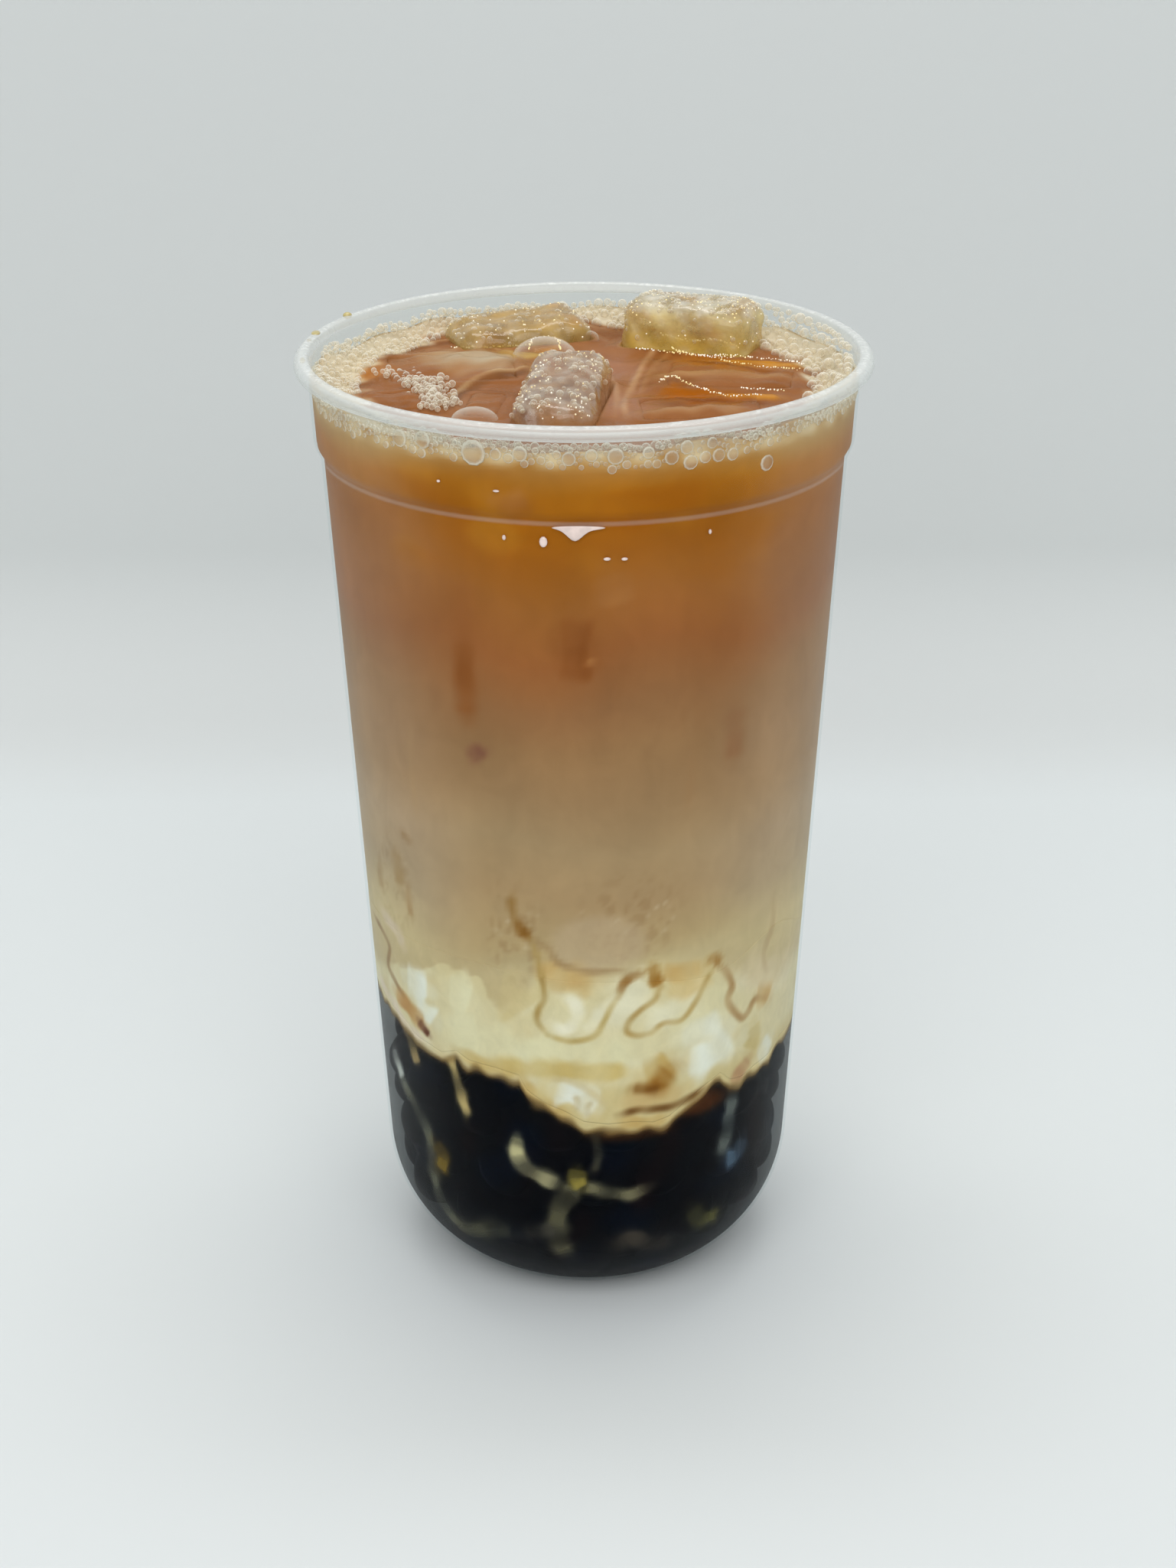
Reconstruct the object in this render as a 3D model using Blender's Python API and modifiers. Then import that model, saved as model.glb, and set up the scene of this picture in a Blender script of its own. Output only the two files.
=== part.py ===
"""Iced milk tea over tapioca pearls, in a clear U-bottomed plastic cup.

Metres, +Z up. The origin is the centre of the foot ring, on the surface that the cup stands on.
The cup is one turned shell. Inside it lie, from the bottom, a heap of pearls, a layer of milk and
the tea, which is cut round the ice that stands out of it. Foam bubbles are fused to the tea.
"""

import math
import random

import bmesh
import bpy
import numpy as np
from mathutils import Matrix, Vector

MM = 0.001

# Driving dimensions of the cup, from its foot to its rim
CUP_HEIGHT = 155.5 * MM
RIM_RADIUS = 45.0 * MM
WALL = 0.9 * MM
SKIRT_DEPTH = 3.0 * MM
SKIRT_GAP = 1.1 * MM
SHOULDER_HEIGHT = 140.2 * MM
SHOULDER_RADIUS = 41.3 * MM
SHOULDER_STEP = 1.0 * MM
SHOULDER_RISE = 1.7 * MM
BAND_TAPER = 0.06
WALL_TAPER = 0.0611
CORNER_RADIUS = 24.0 * MM
FOOT_ANGLE = math.radians(65)
FOOT_WIDTH = 2.6 * MM
RECESS_DEPTH = 1.2 * MM

# Fits and facets
GAP = 0.3 * MM
SEGMENTS = 48
FACET_SAG = RIM_RADIUS * (1 - math.cos(math.pi / SEGMENTS))

# Levels of the contents
PEARL_RADIUS = 5.4 * MM
PEARL_PITCH = 11.5 * MM
PEARL_ROW_PITCH = 10.0 * MM
HEAP_INSET = 3.2 * MM
HEAP_LEVEL = 37.0 * MM
MILK_CLEARANCE = 1.9 * MM
MILK_LEVEL = 64.0 * MM
TEA_LEVEL = 149.5 * MM
FOAM_WIDTH = 6.0 * MM
FOAM_RISE = 1.0 * MM
BUBBLE_SINK = 0.4
DOME_RADIUS = 3.9 * MM
DOME_PLACE = (-4.5 * MM, 17.5 * MM)

# Ice: name, centre in plan, height of the top, size (wide, deep, high), turn about Z, tilt, all mm and degrees
ICE = (
    ("ice_back_left", (-10.6, 28.0), 153.8, (23, 14, 20), 17, (3, -4)),
    ("ice_back_right", (17.6, 22.8), 157.8, (22, 13, 23.6), -20, (-3, 0)),
    ("ice_left", (-21.0, 7.8), 150.2, (23, 18, 20), 6, (0.6, -0.6)),
    ("ice_right", (23.0, 3.0), 150.3, (22, 17, 20), -4, (-0.6, 0.8)),
    ("ice_centre", (-3.0, -13.0), 155.0, (13, 28, 21.6), -8, (5, -3)),
    ("ice_centre_left", (-15.2, -13.5), 150.3, (8, 15, 18), -6, (0.8, 1)),
    ("ice_front_left", (-28.6, -11.5), 150.3, (11, 13, 18), 20, (1, 0)),
    ("ice_front_right", (17.5, -15.8), 150.3, (21, 14, 19), 4, (-0.6, -1)),
)
ICE_ROUNDING = 2.2 * MM
ICE_JITTER = 0.5 * MM

# Colours (red, green, blue, alpha), roughness
FINISHES = {
    "clear_plastic": ((0.85, 0.88, 0.88, 0.3), 0.08),
    "pearl": ((0.016, 0.009, 0.007, 1.0), 0.2),
    "milk": ((0.86, 0.78, 0.62, 1.0), 0.3),
    "tea": ((0.48, 0.27, 0.13, 1.0), 0.15),
    "ice": ((0.78, 0.68, 0.5, 0.5), 0.08),
}


def clear_scene():
    """Remove whatever the startup file holds."""
    for obj in list(bpy.data.objects):
        bpy.data.objects.remove(obj)


def finish(name):
    """The named finish as a Principled BSDF material."""
    found = bpy.data.materials.get(name)
    if found:
        return found
    colour, roughness = FINISHES[name]
    made = bpy.data.materials.new(name)
    made.use_nodes = True
    shader = made.node_tree.nodes["Principled BSDF"]
    shader.inputs["Base Color"].default_value = (*colour[:3], 1.0)
    shader.inputs["Alpha"].default_value = colour[3]
    shader.inputs["Roughness"].default_value = roughness
    shader.inputs["Metallic"].default_value = 0.0
    return made


def add_object(name, mesh, collection, material=None):
    """Link a mesh as a named object and give it a finish."""
    obj = bpy.data.objects.new(name, mesh)
    collection.objects.link(obj)
    if material:
        mesh.materials.append(finish(material))
    return obj


def corner_centre():
    """Centre (radius, height) of the arc that joins the foot to the side wall, tangent to the wall."""
    lean = math.atan(WALL_TAPER)
    height = CORNER_RADIUS * math.sin(FOOT_ANGLE)
    touch = height - CORNER_RADIUS * math.sin(lean)
    radius = SHOULDER_RADIUS - WALL_TAPER * (SHOULDER_HEIGHT - touch) - CORNER_RADIUS * math.cos(lean)
    return radius, height


def inner_radius(z):
    """Radius of the cup's inner face at height z, as a number or an array."""
    centre_r, centre_z = corner_centre()
    lean = math.atan(WALL_TAPER)
    arc = CORNER_RADIUS - WALL
    below = np.clip(centre_z - np.asarray(z, float), arc * math.sin(lean), arc)
    on_arc = centre_r + np.sqrt(arc**2 - below**2)
    on_wall = SHOULDER_RADIUS - WALL - WALL_TAPER * (SHOULDER_HEIGHT - np.asarray(z, float))
    band_foot = SHOULDER_HEIGHT + SHOULDER_RISE
    share = np.clip((np.asarray(z, float) - SHOULDER_HEIGHT) / SHOULDER_RISE, 0, 1)
    on_band = SHOULDER_RADIUS - WALL + SHOULDER_STEP * share
    on_band += BAND_TAPER * np.clip(np.asarray(z, float) - band_foot, 0, None)
    lower = np.where(z < centre_z - arc * math.sin(lean), on_arc, on_wall)
    return np.where(z > SHOULDER_HEIGHT, on_band, lower)


def cup_profile():
    """The turned section of the cup, from the floor inside, over the rim, to the recess under the foot."""
    centre_r, centre_z = corner_centre()
    lean = math.atan(WALL_TAPER)
    floor = RECESS_DEPTH + WALL
    band_foot = SHOULDER_HEIGHT + SHOULDER_RISE
    band_radius = SHOULDER_RADIUS + SHOULDER_STEP
    band_top = CUP_HEIGHT - SKIRT_DEPTH
    top_radius = band_radius + BAND_TAPER * (band_top - band_foot)

    def arc(radius, start, end, count):
        return [
            (centre_r + radius * math.cos(a), centre_z + radius * math.sin(a))
            for a in np.linspace(start, end, count)
        ]

    inner_arc = CORNER_RADIUS - WALL
    inner_start = -math.asin((centre_z - floor) / inner_arc)
    inside = [(0.0, floor)]
    inside += arc(inner_arc, inner_start, -lean, 6)
    inside += [
        (SHOULDER_RADIUS - WALL, SHOULDER_HEIGHT),
        (band_radius - WALL, band_foot),
        (top_radius - WALL, CUP_HEIGHT - WALL),
    ]
    rim = [
        (top_radius - 0.4 * WALL, CUP_HEIGHT),
        (RIM_RADIUS - 0.7 * WALL, CUP_HEIGHT),
        (RIM_RADIUS, CUP_HEIGHT - 0.8 * WALL),
        (RIM_RADIUS, CUP_HEIGHT - SKIRT_DEPTH),
        (top_radius + SKIRT_GAP, CUP_HEIGHT - SKIRT_DEPTH),
        (top_radius + SKIRT_GAP, CUP_HEIGHT - WALL),
        (top_radius, CUP_HEIGHT - 1.2 * WALL),
    ]
    outside = [
        (band_radius, band_foot),
        (SHOULDER_RADIUS, SHOULDER_HEIGHT),
    ]
    outside += arc(CORNER_RADIUS, -lean, -FOOT_ANGLE, 7)
    foot_radius = outside[-1][0]
    outside += [
        (foot_radius - FOOT_WIDTH, 0.0),
        (foot_radius - FOOT_WIDTH - RECESS_DEPTH, RECESS_DEPTH),
        (0.0, RECESS_DEPTH),
    ]
    return inside + rim + outside


def make_cup(collection):
    """The shell: the section turned about Z."""
    section = cup_profile()
    mesh = bpy.data.meshes.new("cup")
    edges = [(i, i + 1) for i in range(len(section) - 1)]
    mesh.from_pydata([(r, 0.0, z) for r, z in section], edges, [])
    cup = add_object("cup", mesh, collection, "clear_plastic")
    turn = cup.modifiers.new("turn", "SCREW")
    turn.axis = "Z"
    turn.steps = turn.render_steps = SEGMENTS
    turn.use_merge_vertices = True
    turn.merge_threshold = 0.00001
    turn.use_smooth_shade = True
    return cup


def pearl_rows():
    """(radius, height) of each row of pearls that lies against the cup, from the floor up."""
    centre_r, centre_z = corner_centre()
    lean = math.atan(WALL_TAPER)
    reach = CORNER_RADIUS - WALL - GAP - FACET_SAG - PEARL_RADIUS
    lowest = RECESS_DEPTH + WALL + GAP + PEARL_RADIUS
    angle = -math.asin((centre_z - lowest) / reach)
    rows = []
    along = 0.0
    arc_length = reach * (-lean - angle)
    while True:
        if along < arc_length:
            a = angle + along / reach
            row = (centre_r + reach * math.cos(a), centre_z + reach * math.sin(a))
        else:
            rise = along - arc_length
            row = (
                centre_r + reach * math.cos(lean) + rise * math.sin(lean),
                centre_z - reach * math.sin(lean) + rise * math.cos(lean),
            )
        if row[1] > HEAP_LEVEL:
            return rows
        rows.append(row)
        along += PEARL_ROW_PITCH


def heap_crest(azimuth):
    """Height of the topmost pearls' crowns at an azimuth, measured from the front towards +X."""
    dip = math.exp(-(((math.degrees(azimuth) - 9) / 17) ** 2))
    swell = 1.3 * math.sin(3 * azimuth + 0.8) + 0.9 * math.sin(5 * azimuth + 2.1)
    return (44.6 + swell - 8.0 * dip) * MM


def pearl_places():
    """Centre of every pearl that shows: rows against the wall, the uneven top row and the floor."""
    draw = random.Random(7)
    places = []
    rows = pearl_rows()
    for level, (radius, height) in enumerate(rows):
        count = round(2 * math.pi * radius / PEARL_PITCH)
        for k in range(count):
            turn = 2 * math.pi * (k + 0.5 * (level % 2) + draw.uniform(-0.12, 0.12)) / count
            lift = draw.uniform(0.0, 0.6) * MM
            places.append((turn, radius, height + lift))
    radius, height = rows[-1]
    count = round(2 * math.pi * radius / PEARL_PITCH)
    for k in range(count):
        turn = 2 * math.pi * (k + 0.5 * (len(rows) % 2)) / count
        azimuth = math.atan2(math.sin(turn), math.cos(turn))
        centre_z = heap_crest(azimuth) - PEARL_RADIUS
        if centre_z > height + 0.55 * PEARL_ROW_PITCH:
            places.append((turn, radius + WALL_TAPER * (centre_z - height), centre_z))
    lowest = rows[0][1]
    places += [(2 * math.pi * k / 6, 10.4 * MM, lowest) for k in range(6)]
    places.append((0.0, 0.0, lowest))
    return [Vector((r * math.sin(t), -r * math.cos(t), z)) for t, r, z in places]


def add_ball(name, centre, radius, collection, subdivisions=2):
    """A faceted ball from an icosphere."""
    mesh = bpy.data.meshes.new(name)
    form = bmesh.new()
    bmesh.ops.create_icosphere(
        form, subdivisions=subdivisions, radius=radius, matrix=Matrix.Translation(centre)
    )
    form.to_mesh(mesh)
    form.free()
    return add_object(name, mesh, collection)


def apply_boolean(obj, operation, operand):
    """Join or cut obj with a collection's objects, apply it and remove them."""
    joined = obj.modifiers.new(operation.lower(), "BOOLEAN")
    joined.operation = operation
    joined.operand_type = "COLLECTION"
    joined.collection = operand
    joined.solver = "MANIFOLD"
    bpy.context.view_layer.update()
    graph = bpy.context.evaluated_depsgraph_get()
    applied = bpy.data.meshes.new_from_object(obj.evaluated_get(graph))
    obj.modifiers.clear()
    obj.data = applied
    for other in list(operand.objects):
        bpy.data.objects.remove(other)
    bpy.data.collections.remove(operand)


def new_collection(name):
    made = bpy.data.collections.new(name)
    bpy.context.scene.collection.children.link(made)
    return made


def make_pearls(collection):
    """The heap: a core set in from the cup's wall, with the pearls that show fused on."""
    steps = np.linspace(RECESS_DEPTH + WALL + HEAP_INSET, HEAP_LEVEL, 6)
    section = [(0.0, steps[-1] + HEAP_INSET)]
    section += [(float(inner_radius(z)) - HEAP_INSET, z) for z in steps[::-1]]
    section += [(0.0, steps[0])]
    mesh = bpy.data.meshes.new("pearls")
    edges = [(i, i + 1) for i in range(len(section) - 1)]
    mesh.from_pydata([(r, 0.0, z) for r, z in section], edges, [])
    heap = add_object("pearls", mesh, collection, "pearl")
    turn = heap.modifiers.new("turn", "SCREW")
    turn.axis = "Z"
    turn.steps = turn.render_steps = SEGMENTS // 3
    turn.use_merge_vertices = True
    turn.merge_threshold = 0.00001
    graph = bpy.context.evaluated_depsgraph_get()
    core = bpy.data.meshes.new_from_object(heap.evaluated_get(graph))
    heap.modifiers.clear()
    heap.data = core
    balls = new_collection("pearls to join")
    for k, centre in enumerate(pearl_places()):
        add_ball(f"pearl_{k}", centre, PEARL_RADIUS, balls)
    apply_boolean(heap, "UNION", balls)
    heap.data.shade_smooth()
    heap.data.set_sharp_from_angle(angle=math.radians(40))
    return heap


def plan_grid(rings, reach):
    """Points (x, y) of a round grid: SEGMENTS spokes and rings out to reach, with the middle point first."""
    turn = np.arange(SEGMENTS) * 2 * np.pi / SEGMENTS
    radii = np.linspace(0, 1, rings + 1)[1:, None] * reach
    x = radii * np.cos(turn)
    y = radii * np.sin(turn)
    return np.concatenate([[0.0], x.ravel()]), np.concatenate([[0.0], y.ravel()])


def disc_faces(rings, first, upward):
    """Faces of a round grid whose middle point has index first; all triangles, so that two layers that
    meet are split alike."""
    faces = []
    for s in range(SEGMENTS):
        t = (s + 1) % SEGMENTS
        faces.append((first, first + 1 + s, first + 1 + t))
        for ring in range(rings - 1):
            a = first + 1 + ring * SEGMENTS
            b = a + SEGMENTS
            faces += [(a + s, b + s, b + t), (a + s, b + t, a + t)]
    return faces if upward else [face[::-1] for face in faces]


def make_layer(name, material, lower, upper, side_heights, rings, collection):
    """A layer that fills the cup between two uneven faces, each a function of (x, y)."""
    points = []
    faces = []
    for height, upward in ((lower, False), (upper, True)):
        first = len(points)
        fit = float(inner_radius(np.float64(side_heights[-1] if upward else side_heights[0]))) - GAP
        x, y = plan_grid(rings, fit)
        z = height(x, y)
        edge = slice(-SEGMENTS, None)
        fitted = inner_radius(z[edge]) - GAP
        scale = fitted / np.hypot(x[edge], y[edge])
        x[edge] *= scale
        y[edge] *= scale
        points += list(zip(x, y, z))
        faces += disc_faces(rings, first, upward)
    size = 1 + rings * SEGMENTS
    loops = [np.arange(size - SEGMENTS, size)]
    turn = np.arange(SEGMENTS) * 2 * np.pi / SEGMENTS
    for z in side_heights[1:-1]:
        radius = float(inner_radius(np.float64(z))) - GAP
        loops.append(np.arange(len(points), len(points) + SEGMENTS))
        points += list(zip(radius * np.cos(turn), radius * np.sin(turn), np.full(SEGMENTS, z)))
    loops.append(np.arange(2 * size - SEGMENTS, 2 * size))
    for under, over in zip(loops, loops[1:]):
        for s in range(SEGMENTS):
            t = (s + 1) % SEGMENTS
            faces.append((under[s], under[t], over[t], over[s]))
    mesh = bpy.data.meshes.new(name)
    mesh.from_pydata(points, [], [tuple(int(i) for i in face) for face in faces])
    mesh.validate()
    mesh.shade_smooth()
    mesh.set_sharp_from_angle(angle=math.radians(50))
    return add_object(name, mesh, collection, material)


def milk_surface(x, y):
    """Height of the boundary between milk and tea: slow swells, with a sag towards the front."""
    u = x / (10 * MM)
    v = y / (10 * MM)
    swell = 2.0 * np.sin(1.1 * u + 0.6) * np.cos(0.9 * v - 0.3) + 1.3 * np.sin(2.1 * v + 1.2 * u + 2.0)
    return MILK_LEVEL + swell * MM


def heap_surface(x, y):
    """Height that clears the heap at (x, y): the core's top or the crown of a pearl."""
    clear = PEARL_RADIUS + MILK_CLEARANCE
    height = np.full(x.shape, HEAP_LEVEL + HEAP_INSET + GAP)
    for centre in pearl_places():
        across = clear**2 - (x - centre.x) ** 2 - (y - centre.y) ** 2
        crown = np.where(across > 0, centre.z + np.sqrt(np.maximum(across, 0)), 0)
        height = np.maximum(height, crown)
    return height


def make_milk(collection):
    return make_layer(
        "milk",
        "milk",
        heap_surface,
        lambda x, y: milk_surface(x, y) - GAP / 2,
        (HEAP_LEVEL, MILK_LEVEL),
        5,
        collection,
    )


def tea_surface(x, y):
    """Height of the tea: level in the middle, with a lumpy collar of foam along the wall."""
    radius = np.hypot(x, y)
    turn = np.arctan2(y, x)
    edge = float(inner_radius(np.float64(TEA_LEVEL))) - GAP
    collar = np.clip((radius - edge + FOAM_WIDTH) / FOAM_WIDTH, 0, 1)
    lump = 1 + 0.3 * np.sin(9 * turn) * np.sin(5 * turn + 1) + 0.2 * np.sin(17 * turn + 2)
    return TEA_LEVEL + FOAM_RISE * collar * lump


def make_ice(entry, collection, grow=0.0, rounding=ICE_ROUNDING, steps=2):
    """One cube of ice: its corners pushed a little out of square, edges melted round."""
    name, (x, y), top, size, turn, tilt = entry
    draw = random.Random(name)
    wide, deep, high = (s * MM + 2 * grow for s in size)
    mesh = bpy.data.meshes.new(name)
    form = bmesh.new()
    bmesh.ops.create_cube(form, size=1.0)
    for corner in form.verts:
        push = Vector([draw.uniform(-1, 1) * ICE_JITTER for _ in range(3)])
        corner.co = Vector((corner.co.x * wide, corner.co.y * deep, corner.co.z * high)) + push
    form.to_mesh(mesh)
    form.free()
    cube = add_object(name, mesh, collection, "ice")
    middle = top * MM - size[2] * MM / 2
    cube.location = (x * MM, y * MM, middle)
    cube.rotation_euler = (math.radians(tilt[0]), math.radians(tilt[1]), math.radians(turn))
    melt = cube.modifiers.new("melt", "BEVEL")
    melt.width = rounding
    melt.segments = steps
    melt.limit_method = "NONE"
    return cube


def ice_reaches(x, y, clear):
    """True where (x, y) is within clear of a cube of ice, seen from above."""
    for _, (cx, cy), _, (wide, deep, _), turn, _ in ICE:
        a = math.radians(-turn)
        dx = x - cx * MM
        dy = y - cy * MM
        u = abs(dx * math.cos(a) - dy * math.sin(a))
        v = abs(dx * math.sin(a) + dy * math.cos(a))
        if u < wide * MM / 2 + clear and v < deep * MM / 2 + clear:
            return True
    return False


def foam_places():
    """Bubbles along the wall, larger in front, each (centre, radius), clear of the ice."""
    draw = random.Random(21)
    places = []
    for k in range(64):
        turn = 2 * math.pi * (k + draw.uniform(-0.25, 0.25)) / 64
        radius = draw.uniform(0.9, 1.7) * MM
        height = TEA_LEVEL + FOAM_RISE
        out = float(inner_radius(np.float64(height))) - GAP - FACET_SAG - radius - draw.uniform(0, 1.6) * MM
        x = out * math.sin(turn)
        y = -out * math.cos(turn)
        if not ice_reaches(x, y, radius + 1.2 * MM):
            places.append((Vector((x, y, height - BUBBLE_SINK * radius)), radius))
    return places


def make_tea(collection):
    """The tea: a layer up to the foam, with bubbles fused on, cut round the ice."""
    tea = make_layer(
        "tea",
        "tea",
        lambda x, y: milk_surface(x, y) + GAP / 2,
        tea_surface,
        (MILK_LEVEL, SHOULDER_HEIGHT - 0.5 * MM, SHOULDER_HEIGHT + SHOULDER_RISE, TEA_LEVEL),
        5,
        collection,
    )
    bubbles = new_collection("bubbles to join")
    for k, (centre, radius) in enumerate(foam_places()):
        add_ball(f"bubble_{k}", centre, radius, bubbles, subdivisions=1)
    dome = Vector((*DOME_PLACE, TEA_LEVEL - BUBBLE_SINK * DOME_RADIUS))
    add_ball("dome", dome, DOME_RADIUS, bubbles)
    apply_boolean(tea, "UNION", bubbles)
    hollows = new_collection("ice hollows")
    for entry in ICE:
        cutter = make_ice(entry, hollows, grow=GAP, rounding=ICE_ROUNDING / 2, steps=1)
        cutter.name = "hollow_" + entry[0]
    apply_boolean(tea, "DIFFERENCE", hollows)
    return tea


def main():
    clear_scene()
    drink = new_collection("milk tea with pearls")
    make_cup(drink)
    make_pearls(drink)
    make_milk(drink)
    make_tea(drink)
    for entry in ICE:
        make_ice(entry, drink)


main()
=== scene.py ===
"""Looks of a cup of iced milk tea over tapioca pearls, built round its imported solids.

Metres, +Z up, front towards -Y. An azimuth is measured from the front towards +X. The cup and the
layers of the drink are turned surfaces whose radius and height may change with the azimuth; the
colours of the drink are worked out from azimuth and height, so that layers that meet agree.
"""

import math
import random

import bpy
import numpy as np
from bpy.props import FloatProperty, FloatVectorProperty, IntProperty, PointerProperty
from mathutils import Matrix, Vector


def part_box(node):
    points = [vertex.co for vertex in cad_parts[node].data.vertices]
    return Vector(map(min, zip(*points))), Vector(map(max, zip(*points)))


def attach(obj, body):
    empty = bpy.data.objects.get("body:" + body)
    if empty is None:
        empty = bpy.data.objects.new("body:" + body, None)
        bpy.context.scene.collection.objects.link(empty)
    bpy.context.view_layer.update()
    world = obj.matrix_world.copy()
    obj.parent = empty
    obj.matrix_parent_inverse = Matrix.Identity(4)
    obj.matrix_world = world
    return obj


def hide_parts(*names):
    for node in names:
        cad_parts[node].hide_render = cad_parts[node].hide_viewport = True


bl_info = {
    "name": "Iced milk tea",
    "version": (1, 0, 0),
    "blender": (4, 5, 0),
    "location": "3D View > Sidebar > Milk tea",
    "description": "Builds a clear cup of iced milk tea with tapioca pearls",
    "category": "Add Mesh",
}

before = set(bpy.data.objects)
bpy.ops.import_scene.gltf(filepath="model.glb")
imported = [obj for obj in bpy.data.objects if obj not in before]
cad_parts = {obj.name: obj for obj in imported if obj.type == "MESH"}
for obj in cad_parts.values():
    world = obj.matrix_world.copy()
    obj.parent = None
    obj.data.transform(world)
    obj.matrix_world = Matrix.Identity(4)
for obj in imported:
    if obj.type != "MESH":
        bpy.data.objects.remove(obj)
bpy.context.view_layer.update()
MM = 0.001
FULL_TURN = 2 * np.pi
RIM_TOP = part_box("cup")[1].z
RIM_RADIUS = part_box("cup")[1].x


def linear(red, green, blue):
    """Scene-linear colour of a display colour given from 0 to 255."""
    shown = np.array((red, green, blue), float) / 255
    return tuple(np.where(shown <= 0.04045, shown / 12.92, ((shown + 0.055) / 1.055) ** 2.4))


def number(name, description, default, **kind):
    """A setting that is one number; kind holds its unit or subtype."""
    return FloatProperty(name=name, description=description, default=default, **kind)


def length(name, description, millimetres):
    """A setting that is a length, given here in millimetres and kept in metres."""
    return number(name, description, millimetres * MM, min=0.0, unit="LENGTH", precision=5)


def colour(name, description, red, green, blue):
    """A setting that is a colour, given here as a display colour from 0 to 255."""
    return FloatVectorProperty(
        name=name,
        description=description,
        default=linear(red, green, blue),
        size=3,
        min=0.0,
        max=1.0,
        subtype="COLOR",
    )


class CupSettings(bpy.types.PropertyGroup):
    """Sizes and tints of the clear cup."""

    wall: length("Wall", "Thickness of the plastic", 0.9)
    skirt: length("Skirt", "Depth of the rolled rim", 2.2)
    shoulder_height: length("Shoulder height", "Where the stacking step begins", 140.2)
    shoulder_radius: length("Shoulder radius", "Outer radius under the stacking step", 41.3)
    shoulder_step: length("Shoulder step", "How far the band stands out over the wall", 1.0)
    shoulder_rise: length("Shoulder rise", "Height of the sloped part of the step", 1.7)
    band_taper: number("Band taper", "Widening of the band per height", 0.06)
    wall_taper: number("Wall taper", "Widening of the wall per height", 0.0611)
    corner_radius: length("Corner radius", "Radius of the round lower corner", 24.0)
    foot_angle: number("Foot angle", "Where the corner meets the foot", math.radians(65), unit="ROTATION")
    foot_width: length("Foot width", "Width of the ring it stands on", 2.6)
    recess: length("Recess", "Depth of the hollow under the foot", 1.2)
    plastic: colour("Plastic", "Tint of the clear wall", 250, 252, 252)
    # this colour also serves for the painted highlight lines on the rim's ridge, the skirt's lower edge and
    # the shoulder
    haze_and_highlights: colour("Haze", "Colour of the milky rim", 232, 233, 229)


class DrinkSettings(bpy.types.PropertyGroup):
    """Sizes and colours of the pearls, the milk and the tea."""

    inset: length("Inset", "How far under the cup's outer face the drink lies", 0.45)
    pearl_radius: length("Pearl radius", "Radius of a pearl", 5.4)
    pearl_pitch: length("Pearl pitch", "Distance between pearls in a row", 11.5)
    row_pitch: length("Row pitch", "Distance between rows of pearls", 10.0)
    heap_level: length("Heap level", "Height of the topmost full row", 37.0)
    milk_level: length("Milk level", "Mean height of the milk's upper face", 64.0)
    tea_level: length("Tea level", "Height of the tea between the ice", 149.5)
    foam_width: length("Foam width", "Width of the collar of foam", 6.0)
    foam_rise: length("Foam rise", "Height of the collar of foam", 1.6)
    pearl: colour("Pearl", "Skin of the pearls", 10, 7, 9)
    syrup: colour("Syrup", "Dark syrup between the pearls", 6, 8, 13)
    cream: colour("Cream", "Bulk of the milk", 202, 190, 150)
    bubble: colour("Bubble", "Film of the foam", 250, 244, 226)
    drip: colour("Drip", "Dried milk on the wall", 236, 214, 205)


class IceSettings(bpy.types.PropertyGroup):
    """Form and tint of the ice."""

    rounding: length("Rounding", "Radius of the melted edges", 2.2)
    lumps: length("Lumps", "Height of the melted unevenness", 0.35)
    dome: length("Dome", "How far the top of a low cube bulges", 0.6)
    grid: IntProperty(name="Grid", description="Squares along each edge of a cube", default=30, min=4, max=80)
    frost: colour("Frost", "Cloudy ice with air in it", 212, 204, 186)


class StageSettings(bpy.types.PropertyGroup):
    """Floor, backdrop, light and camera."""

    floor: colour("Floor", "Pale floor", 222, 226, 226)
    backdrop: colour("Backdrop", "Grey backdrop", 206, 209, 208)
    backdrop_distance: length("Backdrop distance", "From the cup's axis to the backdrop", 235.0)
    backdrop_fillet: length("Backdrop fillet", "Radius where floor and backdrop meet", 45.0)
    sky: number("Sky", "Strength of the light from all round", 0.66)
    lamp: number("Lamp", "Power of the soft light overhead", 1.3, unit="POWER")
    front: number("Front light", "Power of the wide light in front", 9.0, unit="POWER")
    lens: number("Lens", "Focal length of the camera", 70.28, subtype="DISTANCE_CAMERA")


# Forms


def soft_step(x, low, high):
    """0 below low, 1 above high, and 3t^2 - 2t^3 between; low may be the larger one."""
    t = np.clip((x - low) / (high - low), 0, 1)
    return t * t * (3 - 2 * t)


def ripples(u, v, size, seed, waves=9):
    """Smooth unevenness from about -1 to 1: a sum of sines along seeded directions, near one wavelength."""
    draw = np.random.default_rng(seed)
    total = np.zeros(np.broadcast(u, v).shape)
    for _ in range(waves):
        turn = draw.uniform(0, np.pi)
        rate = FULL_TURN / (size * draw.uniform(0.6, 1.6))
        total += np.sin(rate * (u * math.cos(turn) + v * math.sin(turn)) + draw.uniform(0, FULL_TURN))
    return total / math.sqrt(waves)


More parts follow.
